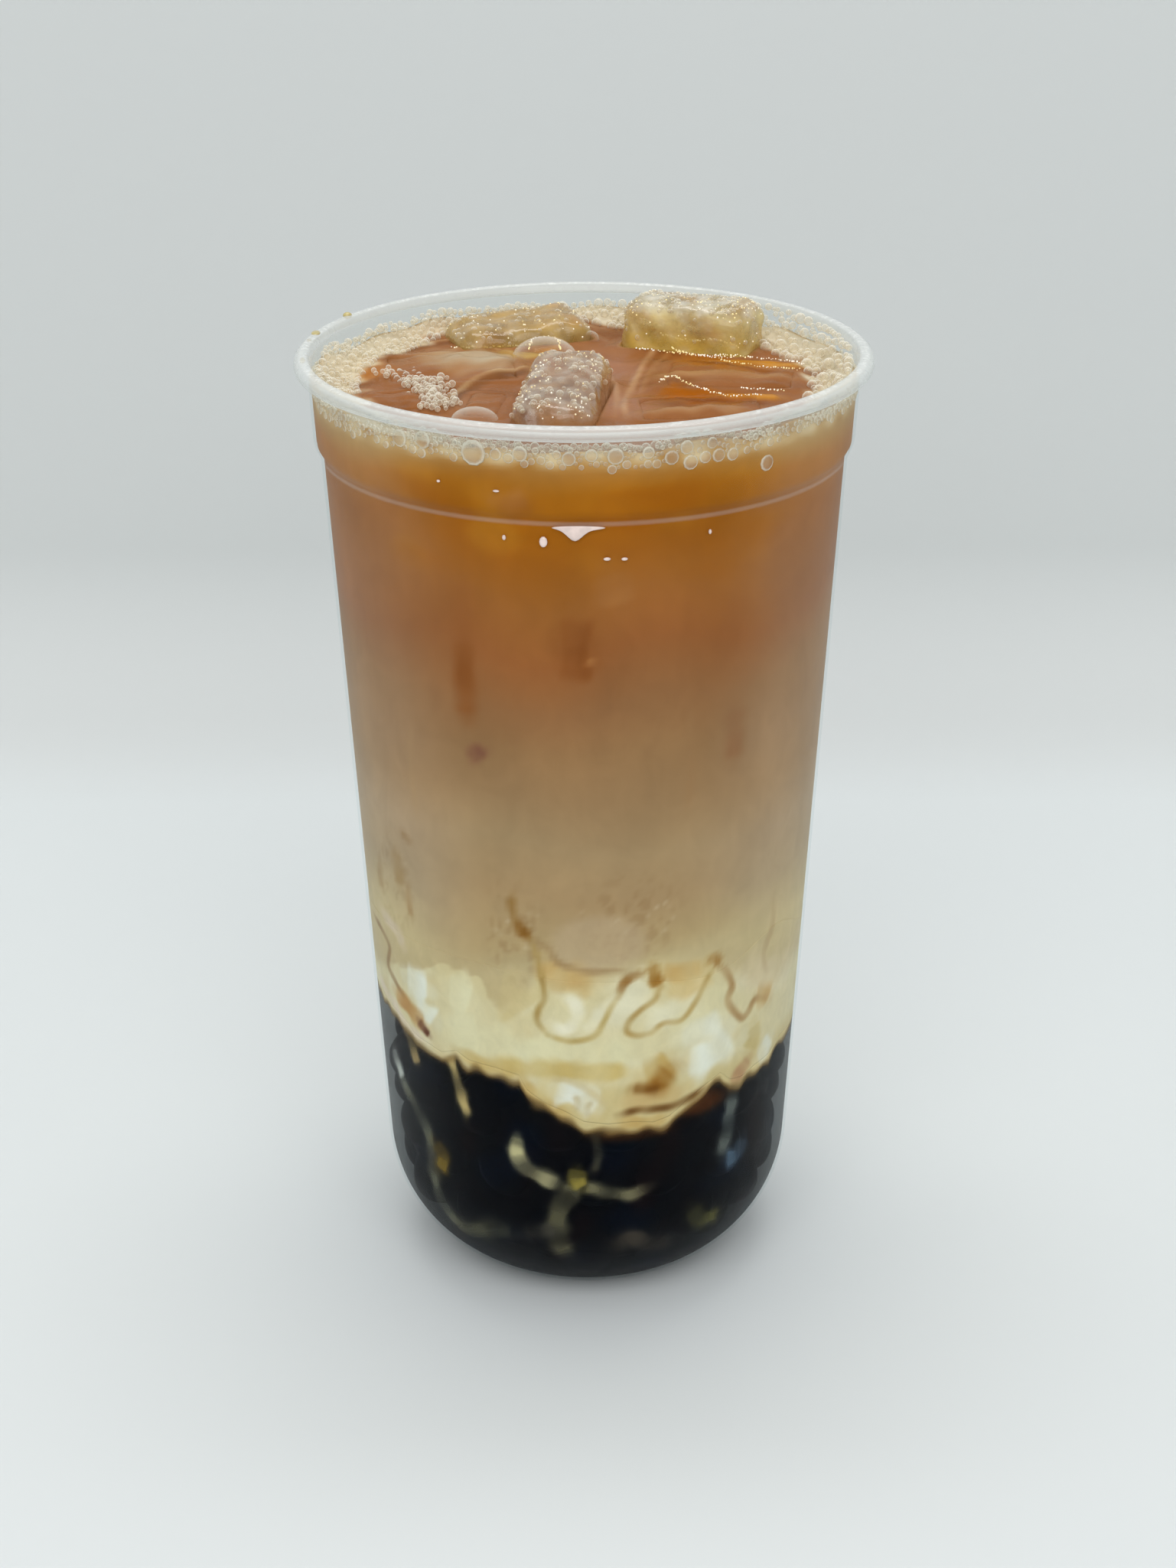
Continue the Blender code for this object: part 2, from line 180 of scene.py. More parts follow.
def rounded(corners, steps=5):
    """An outline of (radius, height, fillet) corners with each corner replaced by a quadratic curve that
    starts and ends a fillet's length away from it, along its two sides."""
    spots = np.array([c[:2] for c in corners], float)
    made = [spots[0]]
    for i in range(1, len(spots) - 1):
        fillet = corners[i][2]
        if fillet <= 0:
            made.append(spots[i])
            continue
        back = spots[i - 1] - spots[i]
        ahead = spots[i + 1] - spots[i]
        reach = min(fillet, 0.49 * np.hypot(*back), 0.49 * np.hypot(*ahead))
        start = spots[i] + back / np.hypot(*back) * reach
        end = spots[i] + ahead / np.hypot(*ahead) * reach
        for t in np.linspace(0, 1, steps + 1):
            made.append((1 - t) ** 2 * start + 2 * t * (1 - t) * spots[i] + t * t * end)
    made.append(spots[-1])
    return np.array(made)


def even(outline, step):
    """The outline with points added so that none are further apart than step."""
    made = [outline[0]]
    for a, b in zip(outline, outline[1:]):
        count = max(1, int(np.ceil(np.hypot(*(b - a)) / step)))
        made += [a + (b - a) * k / count for k in range(1, count + 1)]
    return np.array(made)


def add_piece(name, points, faces, slot, stands_for=()):
    """A smooth mesh object from an array of points and arrays of faces; it rides on the row's only body."""
    mesh = bpy.data.meshes.new(name)
    mesh.vertices.add(len(points))
    mesh.vertices.foreach_set("co", np.ascontiguousarray(points, np.float32).ravel())
    corners = np.concatenate([np.asarray(f).ravel() for f in faces]).astype(np.int32)
    sizes = np.concatenate([np.full(len(f), np.asarray(f).shape[1]) for f in faces])
    mesh.loops.add(len(corners))
    mesh.loops.foreach_set("vertex_index", corners)
    mesh.polygons.add(len(sizes))
    starts = np.concatenate([[0], np.cumsum(sizes)[:-1]]).astype(np.int32)
    mesh.polygons.foreach_set("loop_start", starts)
    mesh.update(calc_edges=True)
    mesh.validate()
    mesh.shade_smooth()
    piece = bpy.data.objects.new(name, mesh)
    bpy.context.scene.collection.objects.link(piece)
    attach(piece, "root")
    if stands_for:
        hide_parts(*stands_for)
    return piece


def turned(radius, height):
    """Points and faces of a closed surface turned about Z: row i, column j lies at radius[i, j] and
    height[i, j], at azimuth j / columns of a turn. The first and last rows are single points."""
    rows, columns = radius.shape
    turn = np.arange(columns) * FULL_TURN / columns
    x = radius * np.sin(turn)
    y = -radius * np.cos(turn)
    inner = np.stack([x, y, height], -1)[1:-1].reshape(-1, 3)
    points = np.concatenate([[[0, 0, height[0, 0]]], inner, [[0, 0, height[-1, 0]]]])
    j = np.arange(columns)
    k = (j + 1) % columns
    first = 1 + np.arange(rows - 3)[:, None] * columns
    quads = np.stack([first + j, first + k, first + columns + k, first + columns + j], -1).reshape(-1, 4)
    last_row = 1 + (rows - 3) * columns
    start = np.stack([np.zeros_like(j), 1 + k, 1 + j], -1)
    end = np.stack([last_row + j, last_row + k, np.full_like(j, len(points) - 1)], -1)
    return points, [start, quads, end]


def balls(centres, radii, columns=10, rows=6, across=None):
    """Points and faces of many balls in one mesh: the same grid of azimuth and polar angle about each
    centre, closed by a point at each end. across, if given, scales each ball by (x, y, z)."""
    turn = np.arange(columns) * FULL_TURN / columns
    polar = np.linspace(0, np.pi, rows + 1)[1:-1]
    ring = np.stack(
        [
            np.sin(polar)[:, None] * np.cos(turn),
            np.sin(polar)[:, None] * np.sin(turn),
            np.repeat(np.cos(polar)[:, None], columns, 1),
        ],
        -1,
    ).reshape(-1, 3)
    unit = np.concatenate([[[0, 0, 1]], ring, [[0, 0, -1]]])
    centres = np.asarray(centres, float)
    scaled = unit[None] * np.asarray(radii, float)[:, None, None]
    if across is not None:
        scaled = scaled * np.asarray(across, float)[:, None, :]
    points = centres[:, None] + scaled
    j = np.arange(columns)
    k = (j + 1) % columns
    first = 1 + np.arange(rows - 2)[:, None] * columns
    quads = np.stack([first + j, first + columns + j, first + columns + k, first + k], -1).reshape(-1, 4)
    last = len(unit) - 1
    fans = np.concatenate(
        [
            np.stack([np.zeros_like(j), 1 + j, 1 + k], -1),
            np.stack([last - columns + k, last - columns + j, np.full_like(j, last)], -1),
        ]
    )
    shift = (np.arange(len(centres)) * len(unit))[:, None, None]
    return points, [(fans + shift).reshape(-1, 3), (quads + shift).reshape(-1, 4)]


def cube_lattice(count):
    """Points on the faces of the cube from -1 to 1, each shared point once, and their outward squares."""
    k = np.arange(count + 1)
    u, v = np.meshgrid(k, k, indexing="ij")
    spots = []
    squares = []
    for axis in range(3):
        for side in (0, count):
            at = np.zeros((count + 1, count + 1, 3), int)
            at[..., axis] = side
            at[..., (axis + 1) % 3] = u
            at[..., (axis + 2) % 3] = v
            first = len(spots) * (count + 1) ** 2
            a = first + u[:-1, :-1] * (count + 1) + v[:-1, :-1]
            face = np.stack([a, a + count + 1, a + count + 2, a + 1], -1).reshape(-1, 4)
            spots.append(at.reshape(-1, 3))
            squares.append(face if side else face[:, ::-1])
    lattice, index = np.unique(np.concatenate(spots), axis=0, return_inverse=True)
    return lattice / count * 2 - 1, index.ravel()[np.concatenate(squares)]


class CupForm:
    """The cup's outer line and what is measured from it."""

    def __init__(self, cup):
        self.cup = cup
        self.lean = math.atan(cup.wall_taper)
        self.corner_z = cup.corner_radius * math.sin(cup.foot_angle)
        self.touch_z = self.corner_z - cup.corner_radius * math.sin(self.lean)
        touch_r = cup.shoulder_radius - cup.wall_taper * (cup.shoulder_height - self.touch_z)
        self.corner_r = touch_r - cup.corner_radius * math.cos(self.lean)
        self.band_foot = cup.shoulder_height + cup.shoulder_rise
        self.band_radius = cup.shoulder_radius + cup.shoulder_step
        self.skirt_foot = RIM_TOP - cup.skirt
        self.top_radius = self.band_radius + cup.band_taper * (self.skirt_foot - self.band_foot)

    def radius(self, z, inset=0.0):
        """Outer radius at height z, less inset along the wall's normal."""
        cup = self.cup
        z = np.asarray(z, float)
        arc = cup.corner_radius - inset
        below = np.clip(self.corner_z - z, arc * math.sin(self.lean), arc)
        on_arc = self.corner_r + np.sqrt(arc**2 - below**2)
        on_wall = cup.shoulder_radius - cup.wall_taper * (cup.shoulder_height - z) - inset
        share = soft_step(z, cup.shoulder_height, self.band_foot)
        on_band = cup.shoulder_radius + cup.shoulder_step * share - inset
        on_band = on_band + cup.band_taper * np.clip(z - self.band_foot, 0, None)
        lower = np.where(z < self.corner_z - arc * math.sin(self.lean), on_arc, on_wall)
        return np.where(z > cup.shoulder_height, on_band, lower)

    def corner(self, inset, start, end, count):
        """Points on the lower corner's arc, less inset, between two angles below the horizontal."""
        angle = np.linspace(-start, -end, count)
        arc = self.cup.corner_radius - inset
        return np.stack([self.corner_r + arc * np.cos(angle), self.corner_z + arc * np.sin(angle)], -1)

    def bottom(self, inset, angle_count=26):
        """From the axis, over the foot, up the corner to the wall: the lower part of a layer's outline."""
        cup = self.cup
        foot = self.corner_r + cup.corner_radius * math.cos(cup.foot_angle)
        lift = inset
        hollow = cup.recess + inset
        inner = foot - cup.foot_width
        corners = [
            (0, hollow, 0),
            (inner - cup.recess, hollow, cup.recess * 0.4),
            (inner, lift, cup.recess * 0.4),
            (foot * 0.97, lift, 0),
        ]
        start = math.asin(min(1.0, (self.corner_z - lift) / (cup.corner_radius - inset)))
        arc = self.corner(inset, start, self.lean, angle_count)
        return np.concatenate([rounded(corners, 3), arc])


def azimuth_of(points):
    """Azimuth in degrees of each point, 0 in front and positive towards +X."""
    return np.degrees(np.arctan2(points[..., 0], -points[..., 1]))


def folded(azimuth):
    """The azimuth with the unseen back half laid over the front half, turned end for end."""
    beyond = np.abs(azimuth) > 90
    return np.where(beyond, np.sign(azimuth) * (180 - np.abs(azimuth)), azimuth)


# Colours of the drink, as display colours from 0 to 255 over azimuth (degrees) and height (mm)

FRONT_TEA = (
    (66, (180, 162, 122)),
    (70, (170, 147, 106)),
    (78, (157, 130, 94)),
    (86, (155, 129, 94)),
    (95, (146, 115, 80)),
    (104, (141, 106, 70)),
    (112, (138, 96, 60)),
    (120, (140, 86, 45)),
    (127, (145, 90, 40)),
    (134, (147, 86, 22)),
    (140, (149, 86, 10)),
    (145, (156, 94, 16)),
    (148, (160, 108, 46)),
)
# Tea colours at the sides: paler and pinker, the painted sheen of the wall where it turns away
SIDE_TEA_AND_SHEEN = (
    (66, (186, 168, 126)),
    (75, (170, 148, 116)),
    (85, (167, 142, 112)),
    (95, (158, 128, 95)),
    (104, (154, 122, 90)),
    (112, (149, 114, 81)),
    (120, (147, 102, 69)),
    (130, (149, 101, 63)),
    (139, (152, 99, 54)),
    (145, (165, 112, 60)),
    (148, (172, 136, 88)),
)
# Lower limit of the tea's colour along the wall: (azimuth, height)
TEA_FOOT = (
    (-90, 55), (-66, 56), (-59.8, 58.4), (-49.6, 60.1), (-40, 62.4), (-28.7, 62.6), (-26, 60),
    (-22, 58), (-15, 61), (-10.6, 66), (-5.9, 65.8), (5.8, 65.3), (16.6, 66.8), (31.9, 65.6),
    (41.7, 61.2), (52.6, 56.7), (90, 56),
)
# Upper limit of the pearls along the wall: (azimuth, height)
PEARL_TOP = (
    (-90, 47.5), (-74.8, 49.1), (-65.7, 48.2), (-56.9, 47.6), (-52.4, 46.0), (-45.5, 45.6),
    (-41.8, 45.2), (-36.5, 46.6), (-32.8, 45.6), (-24.2, 45.4), (-18.0, 44.8), (-15.9, 42.2),
    (-10.5, 40.0), (-5.7, 38.8), (-0.9, 37.0), (5.5, 36.4), (12.3, 36.5), (18, 35.9), (22.4, 36.5),
    (27, 38.6), (32, 40.4), (37.9, 42.0), (41.8, 39.9), (45.8, 39.4), (51.8, 40.2), (59.1, 40.4),
    (65.2, 42.1), (76, 41.4), (90, 44.5),
)
# Strokes on the milk and tea: colour, half width and feather in mm, strength, points (azimuth, height)
STROKES = (
    # soft ground of cream and unmixed milk
    ((209, 202, 164), 2.4, 2.6, 0.85,
     ((-42, 51.6), (-30, 50.6), (-20, 50.6), (-8, 50.4), (4, 50.6), (15, 50.6))),
    ((211, 204, 168), 3.2, 1.5, 0.95, ((-38, 58.6), (-34, 58.4), (-30.5, 57.8))),
    ((210, 202, 164), 2.6, 2.4, 0.9, ((-37, 54), (-33, 53.4), (-29, 53.6))),
    ((217, 217, 202), 2.9, 1.3, 1.0, ((-54.5, 57.2), (-49.5, 57), (-45, 56.8))),
    ((216, 216, 198), 2.0, 1.6, 0.95, ((-50, 54), (-46.5, 52.8), (-43.6, 51.6))),
    ((193, 175, 126), 3.4, 3.5, 0.75, ((-23, 60), (-19, 59.4), (-16, 57.4))),
    ((205, 195, 156), 2.8, 2.4, 0.8, ((-8, 60), (-4.5, 58), (0, 58.4))),
    ((219, 213, 190), 0.5, 1.3, 0.85,
     ((-9.8, 56.4), (-5.4, 55.2), (-2.6, 57.4), (-3.2, 60.2), (-6.8, 61.4))),
    ((219, 214, 190), 0.4, 1.2, 0.6, ((-1, 54.9), (2, 56.6), (3.4, 59.4))),
    ((214, 207, 178), 1.6, 1.8, 0.9, ((6.4, 54.6), (8.6, 58.6), (12.6, 61.4), (15.2, 63))),
    ((214, 208, 180), 1.5, 1.6, 0.8, ((14, 56.4), (18.4, 56.4), (24, 58.2), (29, 61))),
    ((209, 200, 160), 2.4, 2.6, 0.7, ((20, 52), (27, 53), (34, 56), (38, 60))),
    ((218, 218, 202), 3.4, 2.0, 1.0, ((26.6, 47.4), (31, 47.4), (35.6, 48.4), (40.4, 50.6))),
    ((216, 214, 194), 1.3, 2.0, 0.8, ((24, 51.8), (31, 52.2), (38, 53.4))),
    ((206, 190, 158), 2.6, 3.0, 0.6, ((42, 62), (50, 59), (60, 56), (70, 56))),
    ((203, 190, 152), 2.0, 2.4, 0.7, ((54, 50.6), (62, 50), (72, 49))),
    ((186, 166, 112), 1.9, 1.1, 0.85, ((49.4, 49.4), (50.4, 47), (48.8, 44.6))),
    ((208, 206, 188), 1.6, 1.3, 0.9, ((52.4, 42.4), (56, 43.2), (59.4, 44.8))),
    # amber and gold
    # amber band under the pale bulge: painted shade under it
    ((184, 150, 94), 1.5, 2.0, 0.8, ((-10.4, 68), (-9.2, 65.8), (-6.7, 64.6), (-2, 64.2), (3, 64))),
    ((188, 154, 96), 1.2, 1.2, 0.9, ((18.4, 64.8), (21.5, 64.2), (26, 63.9), (30.6, 64.3))),
    # gold band below the amber wedge: painted shade under it
    ((198, 170, 112), 1.2, 1.6, 0.7, ((19.6, 61.6), (25, 60.8), (29.4, 61.2), (32, 62.8))),
    ((148, 104, 42), 0.75, 0.9, 0.95, ((16.2, 66.2), (17, 64.2), (18.8, 62))),
    ((150, 110, 54), 0.6, 0.9, 0.85, ((31.8, 64.2), (33.8, 64.8), (35.4, 63.2))),
    ((180, 142, 86), 1.2, 1.6, 0.75, ((50, 54.4), (53, 54.2), (56.4, 52.6))),
    ((187, 162, 98), 1.1, 1.5, 0.9,
     ((-27, 47.4), (-18, 47.5), (-10, 47.7), (-2, 47.5), (6, 47.3), (12, 47))),
    ((186, 160, 100), 0.9, 1.2, 0.85, ((-37, 47.9), (-30, 46.6), (-24, 46.3), (-18, 46))),
    ((176, 142, 76), 2.2, 2.2, 0.75, ((15, 45.4), (19.5, 46.4), (23, 47.6))),
    ((136, 92, 34), 1.0, 2.4, 1.0, ((14.4, 43.7), (18, 43.7), (20.5, 45), (22.6, 46.2))),
    ((108, 66, 20), 0.35, 1.5, 0.95, ((11.6, 43.8), (16, 43.3), (19.4, 42.7))),
    # cloud of milk over the pearls, in front
    ((184, 156, 98), 0.9, 1.3, 0.9, ((-17.6, 46.2), (-16, 43.2), (-12, 41.2), (-7.4, 39.8), (-3, 38.4))),
    ((214, 213, 198), 2.3, 1.1, 1.0, ((-8.8, 44.1), (-5, 43.3), (-1, 42), (3.2, 40.6))),
    ((190, 172, 128), 0.25, 0.8, 0.7, ((-10.4, 45.8), (-6, 46), (-1.4, 44.8), (2.6, 42.8), (5.4, 40.4))),
    ((176, 158, 118), 0.2, 0.7, 0.6, ((-3.4, 40.2), (-2.6, 41.8), (-3.2, 43.2))),
    ((176, 158, 118), 0.2, 0.7, 0.6, ((0.6, 39), (0.2, 40.8), (1.4, 42))),
    ((188, 160, 108), 1.2, 1.2, 0.85, ((8, 41.4), (14, 41.2), (20, 41.2), (27, 42.4))),
    ((182, 152, 94), 0.9, 0.9, 0.95, ((7.4, 37.8), (12, 37.7), (17, 37.1), (22, 37.6))),
    ((98, 64, 28), 0.2, 1.0, 0.9,
     ((8, 39.2), (13, 39.8), (17.2, 39.6), (22.9, 39.5), (28, 40.2), (33.6, 41.6))),
    ((166, 126, 90), 1.0, 1.2, 0.85, ((42.8, 39.4), (44.6, 41.2), (47, 42.4), (49, 43.4))),
    # smear at the left
    ((206, 190, 168), 0.7, 0.8, 0.9,
     ((-76, 52), (-70, 50.9), (-63.3, 50.2), (-58.9, 48.6), (-53, 47.3), (-47, 46.9))),
    ((172, 128, 72), 1.4, 1.0, 0.95, ((-62, 52.8), (-57, 52), (-51, 50.7), (-47.6, 49.9))),
    ((88, 48, 30), 0.5, 0.9, 1.0, ((-50.4, 50.4), (-48, 49.2), (-46, 48.4))),
    # threads of tea
    ((138, 104, 56), 0.35, 0.8, 0.9,
     ((-17.7, 78.8), (-18.1, 76.3), (-17, 73.5), (-14.8, 71.9), (-13.2, 70))),
    ((122, 82, 32), 0.7, 0.9, 0.9, ((-17.6, 73.8), (-15.8, 72.5), (-14.3, 71.4))),
    ((156, 128, 72), 0.12, 0.8, 0.9,
     ((-13.5, 70.9), (-12.1, 67.7), (-11.3, 64.8), (-10.6, 60.8), (-12.2, 58.5), (-12.5, 56.3), (-10, 54))),
    ((170, 146, 88), 0.12, 0.8, 0.85,
     ((-10, 54), (-6.5, 53.3), (-3.3, 53.1), (1.8, 54), (4.3, 56.6), (6, 59), (8.3, 61.3))),
    ((136, 96, 46), 0.5, 0.8, 0.9, ((8, 61), (9.4, 63.3), (12, 64.5), (14.4, 65))),
    ((160, 130, 74), 0.12, 0.8, 0.85,
     ((18.4, 62), (17.5, 59.9), (13.8, 58.3), (10.7, 56.3), (10.3, 54.5), (12.9, 53.6), (16.6, 53.8))),
    ((166, 138, 82), 0.12, 0.8, 0.8,
     ((16.6, 53.8), (19.8, 55.2), (24.9, 55.2), (28.8, 58), (31.5, 61.2), (33.8, 63.4))),
    ((156, 122, 78), 0.35, 0.8, 0.85,
     ((34.4, 63.7), (37.8, 61.9), (40.2, 58.8), (39.1, 56.1), (44, 52), (47.1, 52.4), (49.3, 54.1),
      (55.1, 53))),
    ((140, 110, 72), 0.3, 0.7, 0.85,
     ((-75.2, 63.4), (-67.5, 62.6), (-62.6, 60.6), (-64.7, 56.7), (-60.7, 54.7), (-56.7, 53.2))),
    ((144, 112, 64), 0.8, 1.6, 0.5, ((-54.2, 80.1), (-53.5, 76.6), (-53.8, 73.6))),
    ((150, 116, 72), 0.3, 0.9, 0.6, ((-49.9, 75), (-50.2, 72), (-49.6, 69))),
    ((140, 108, 70), 0.3, 0.8, 0.6, ((-51.1, 84), (-47, 82.8))),
    ((150, 118, 74), 0.6, 1.2, 0.5, ((-63.7, 75.4), (-64.4, 73), (-63.8, 70.6))),
    ((206, 188, 168), 0.7, 1.2, 0.7, ((-67.4, 66.7), (-61, 65.5), (-56.9, 64.8), (-54.2, 62.6))),
    ((158, 128, 92), 0.4, 0.8, 0.4, ((54, 72.2), (55.2, 66.4), (52, 62), (54, 58))),
    # edge of the pale bulge that hangs into the milk
    ((148, 120, 82), 0.22, 0.7, 0.85,
     ((-13, 70.9), (-9.5, 69.7), (-7.1, 67.2), (-3.2, 66.2), (1, 65.6), (7, 65.6), (12, 65))),
)
# Strokes in the syrup between the pearls: as above
STRANDS = (
    ((150, 143, 108), 1.2, 1.0, 0.95,
     ((-19.2, 34.4), (-19.6, 31), (-16, 28.2), (-10.8, 26.8), (-6.4, 25.8))),
    ((186, 178, 132), 0.9, 1.0, 0.9, ((-19, 34.6), (-19.5, 32.4), (-18.6, 30.6))),
    ((118, 112, 84), 0.85, 1.0, 0.9, ((-2, 26), (1.8, 25.4), (6.9, 24.2), (12.2, 24), (18.4, 25.2))),
    ((92, 88, 66), 1.4, 1.6, 0.9,
     ((-4, 27), (-4.9, 25), (-7.4, 21.7), (-8.6, 17.3), (-8.2, 13.6), (-4.4, 10.6))),
    ((150, 134, 62), 1.2, 1.1, 0.9, ((-2.6, 29.4), (-3.0, 27.4), (-1.2, 25.4))),
    ((80, 76, 58), 0.35, 0.9, 0.75, ((1.8, 36.5), (2.9, 31.8), (1.4, 28.2))),
    ((70, 66, 58), 0.8, 1.8, 0.8, ((-19.4, 15.1), (-12.8, 16.5), (-8.9, 17.4))),
    ((104, 104, 86), 0.9, 1.6, 0.85,
     ((-64.9, 39.3), (-62.3, 35.9), (-55.3, 32.7), (-50.5, 29.5), (-49.0, 25), (-49.3, 21),
      (-48.1, 17.5), (-44.4, 14), (-36.9, 12.3), (-24.7, 14.3))),
    ((182, 186, 178), 1.2, 1.4, 0.95, ((-66.5, 41), (-64.9, 38.6), (-61.6, 36))),
    ((122, 100, 40), 1.2, 1.6, 0.9, ((-47.5, 28.2), (-44.4, 26), (-46.5, 22.4))),
    ((176, 156, 104), 0.75, 0.9, 1.0,
     ((-40.5, 48.4), (-38, 45), (-36.5, 41), (-34.8, 37.5), (-34.7, 34.8))),
    ((160, 138, 92), 1.0, 1.1, 0.9, ((-57, 47.5), (-54.5, 44), (-52, 41.2))),
    ((80, 78, 60), 1.1, 2.0, 0.85, ((-45, 13.3), (-36, 13.2), (-28.2, 15.6), (-22.8, 14.4))),
    ((72, 64, 54), 1.1, 2.2, 0.85, ((7.6, 10.9), (11.8, 14.9), (18.9, 12.5), (26.8, 12.4))),
    ((92, 88, 48), 1.5, 1.8, 0.85, ((30.4, 18.9), (35.1, 15.4), (42.8, 14.6))),
    ((104, 110, 104), 1.0, 1.4, 0.85, ((43.6, 39.2), (42.4, 35.3), (42.4, 31.6), (40.8, 28.4), (40, 26.2))),
    ((84, 104, 122), 1.5, 1.6, 0.85, ((48.4, 28.6), (46.5, 25.9), (41.1, 25.6))),
    ((56, 62, 62), 0.6, 2.2, 0.7, ((-76, 31), (-71, 24.8), (-66, 18))),
    ((50, 54, 52), 0.9, 2.4, 0.6, ((62, 20), (56, 11), (46, 7), (30, 5))),
    ((52, 56, 54), 1.0, 2.2, 0.5, ((66, 34), (62, 28), (60, 22))),
)


def curve_through(points, steps=8):
    """A Catmull-Rom curve through the points, with steps stretches between each two."""
    spots = np.asarray(points, float)
    padded = np.concatenate([[2 * spots[0] - spots[1]], spots, [2 * spots[-1] - spots[-2]]])
    a, b, c, d = padded[:-3], padded[1:-2], padded[2:-1], padded[3:]
    t = np.linspace(0, 1, steps, endpoint=False)[:, None, None]
    square, cube = 2 * a - 5 * b + 4 * c - d, 3 * b - a - 3 * c + d
    curve = 0.5 * (2 * b + (c - a) * t + square * t**2 + cube * t**3)
    return np.concatenate([curve.transpose(1, 0, 2).reshape(-1, 2), spots[-1:]])


def stroke_strength(u, v, line, half_width, feather, seed):
    """Strength from 0 to 1, at places (u, v) in mm, of a stroke along a line of points: full within
    half_width of it, none a feather on. Its width swells and shrinks with the place, it thins out at both
    ends and fades a little along its run."""
    reach = half_width + feather + 1
    low, high = line.min(0) - reach, line.max(0) + reach
    near = (u > low[0]) & (u < high[0]) & (v > low[1]) & (v < high[1])
    spots = np.stack([u[near], v[near]], -1)
    best = np.full(len(spots), 1e9)
    where = np.zeros(len(spots))
    run = len(line) - 1
    for k in range(run):
        a, b = line[k], line[k + 1]
        step = b - a
        t = np.clip(((spots - a) @ step) / max(step @ step, 1e-12), 0, 1)
        apart = np.hypot(*(spots - a - t[:, None] * step).T)
        closer = apart < best
        best = np.where(closer, apart, best)
        where = np.where(closer, (k + t) / run, where)
    swell = 1 + 0.35 * ripples(spots[:, 0], spots[:, 1], 5.0, seed)
    ends = 0.45 + 0.55 * soft_step(where, 0, 0.18) * soft_step(where, 1, 0.82)
    fade = 0.82 + 0.18 * np.sin(where * run * 0.4 + seed)
    width = half_width * swell * ends
    strength = np.zeros(u.shape)
    tips = 0.3 + 0.7 * soft_step(where, 0, 0.16) * soft_step(where, 1, 0.84)
    strength[near] = fade * tips * soft_step(best, width + feather, width * 0.6)
    return strength


class Wall:
    """Points on the drink's side, as azimuth in degrees, height in mm and distance along the wall in mm."""

    def __init__(self, points, form):
        self.azimuth = folded(azimuth_of(points))
        self.back = soft_step(np.abs(azimuth_of(points)), 88, 104)
        self.height = points[..., 2] / MM
        self.along = self.azimuth * form.radius(points[..., 2]) / MM * math.pi / 180
        self.form = form

    def stroke(self, points, half_width, feather):
        """Strength of a stroke through points given as azimuth and height."""
        line = curve_through(points)
        line[:, 0] *= self.form.radius(line[:, 1] * MM) / MM * math.pi / 180
        return stroke_strength(self.along, self.height, line, half_width, feather, len(points))


def over(base, top, share):
    """Colours base with colours or one colour top laid over them by share."""
    share = np.asarray(share)[..., None]
    return base * (1 - share) + np.asarray(top, float) * share


def along_scale(scale, z):
    """Colour at each height from (height, colour) stops, straight between them."""
    heights = [s[0] for s in scale]
    shades = np.array([s[1] for s in scale], float)
    return np.stack([np.interp(z, heights, shades[:, k]) for k in range(3)], -1)


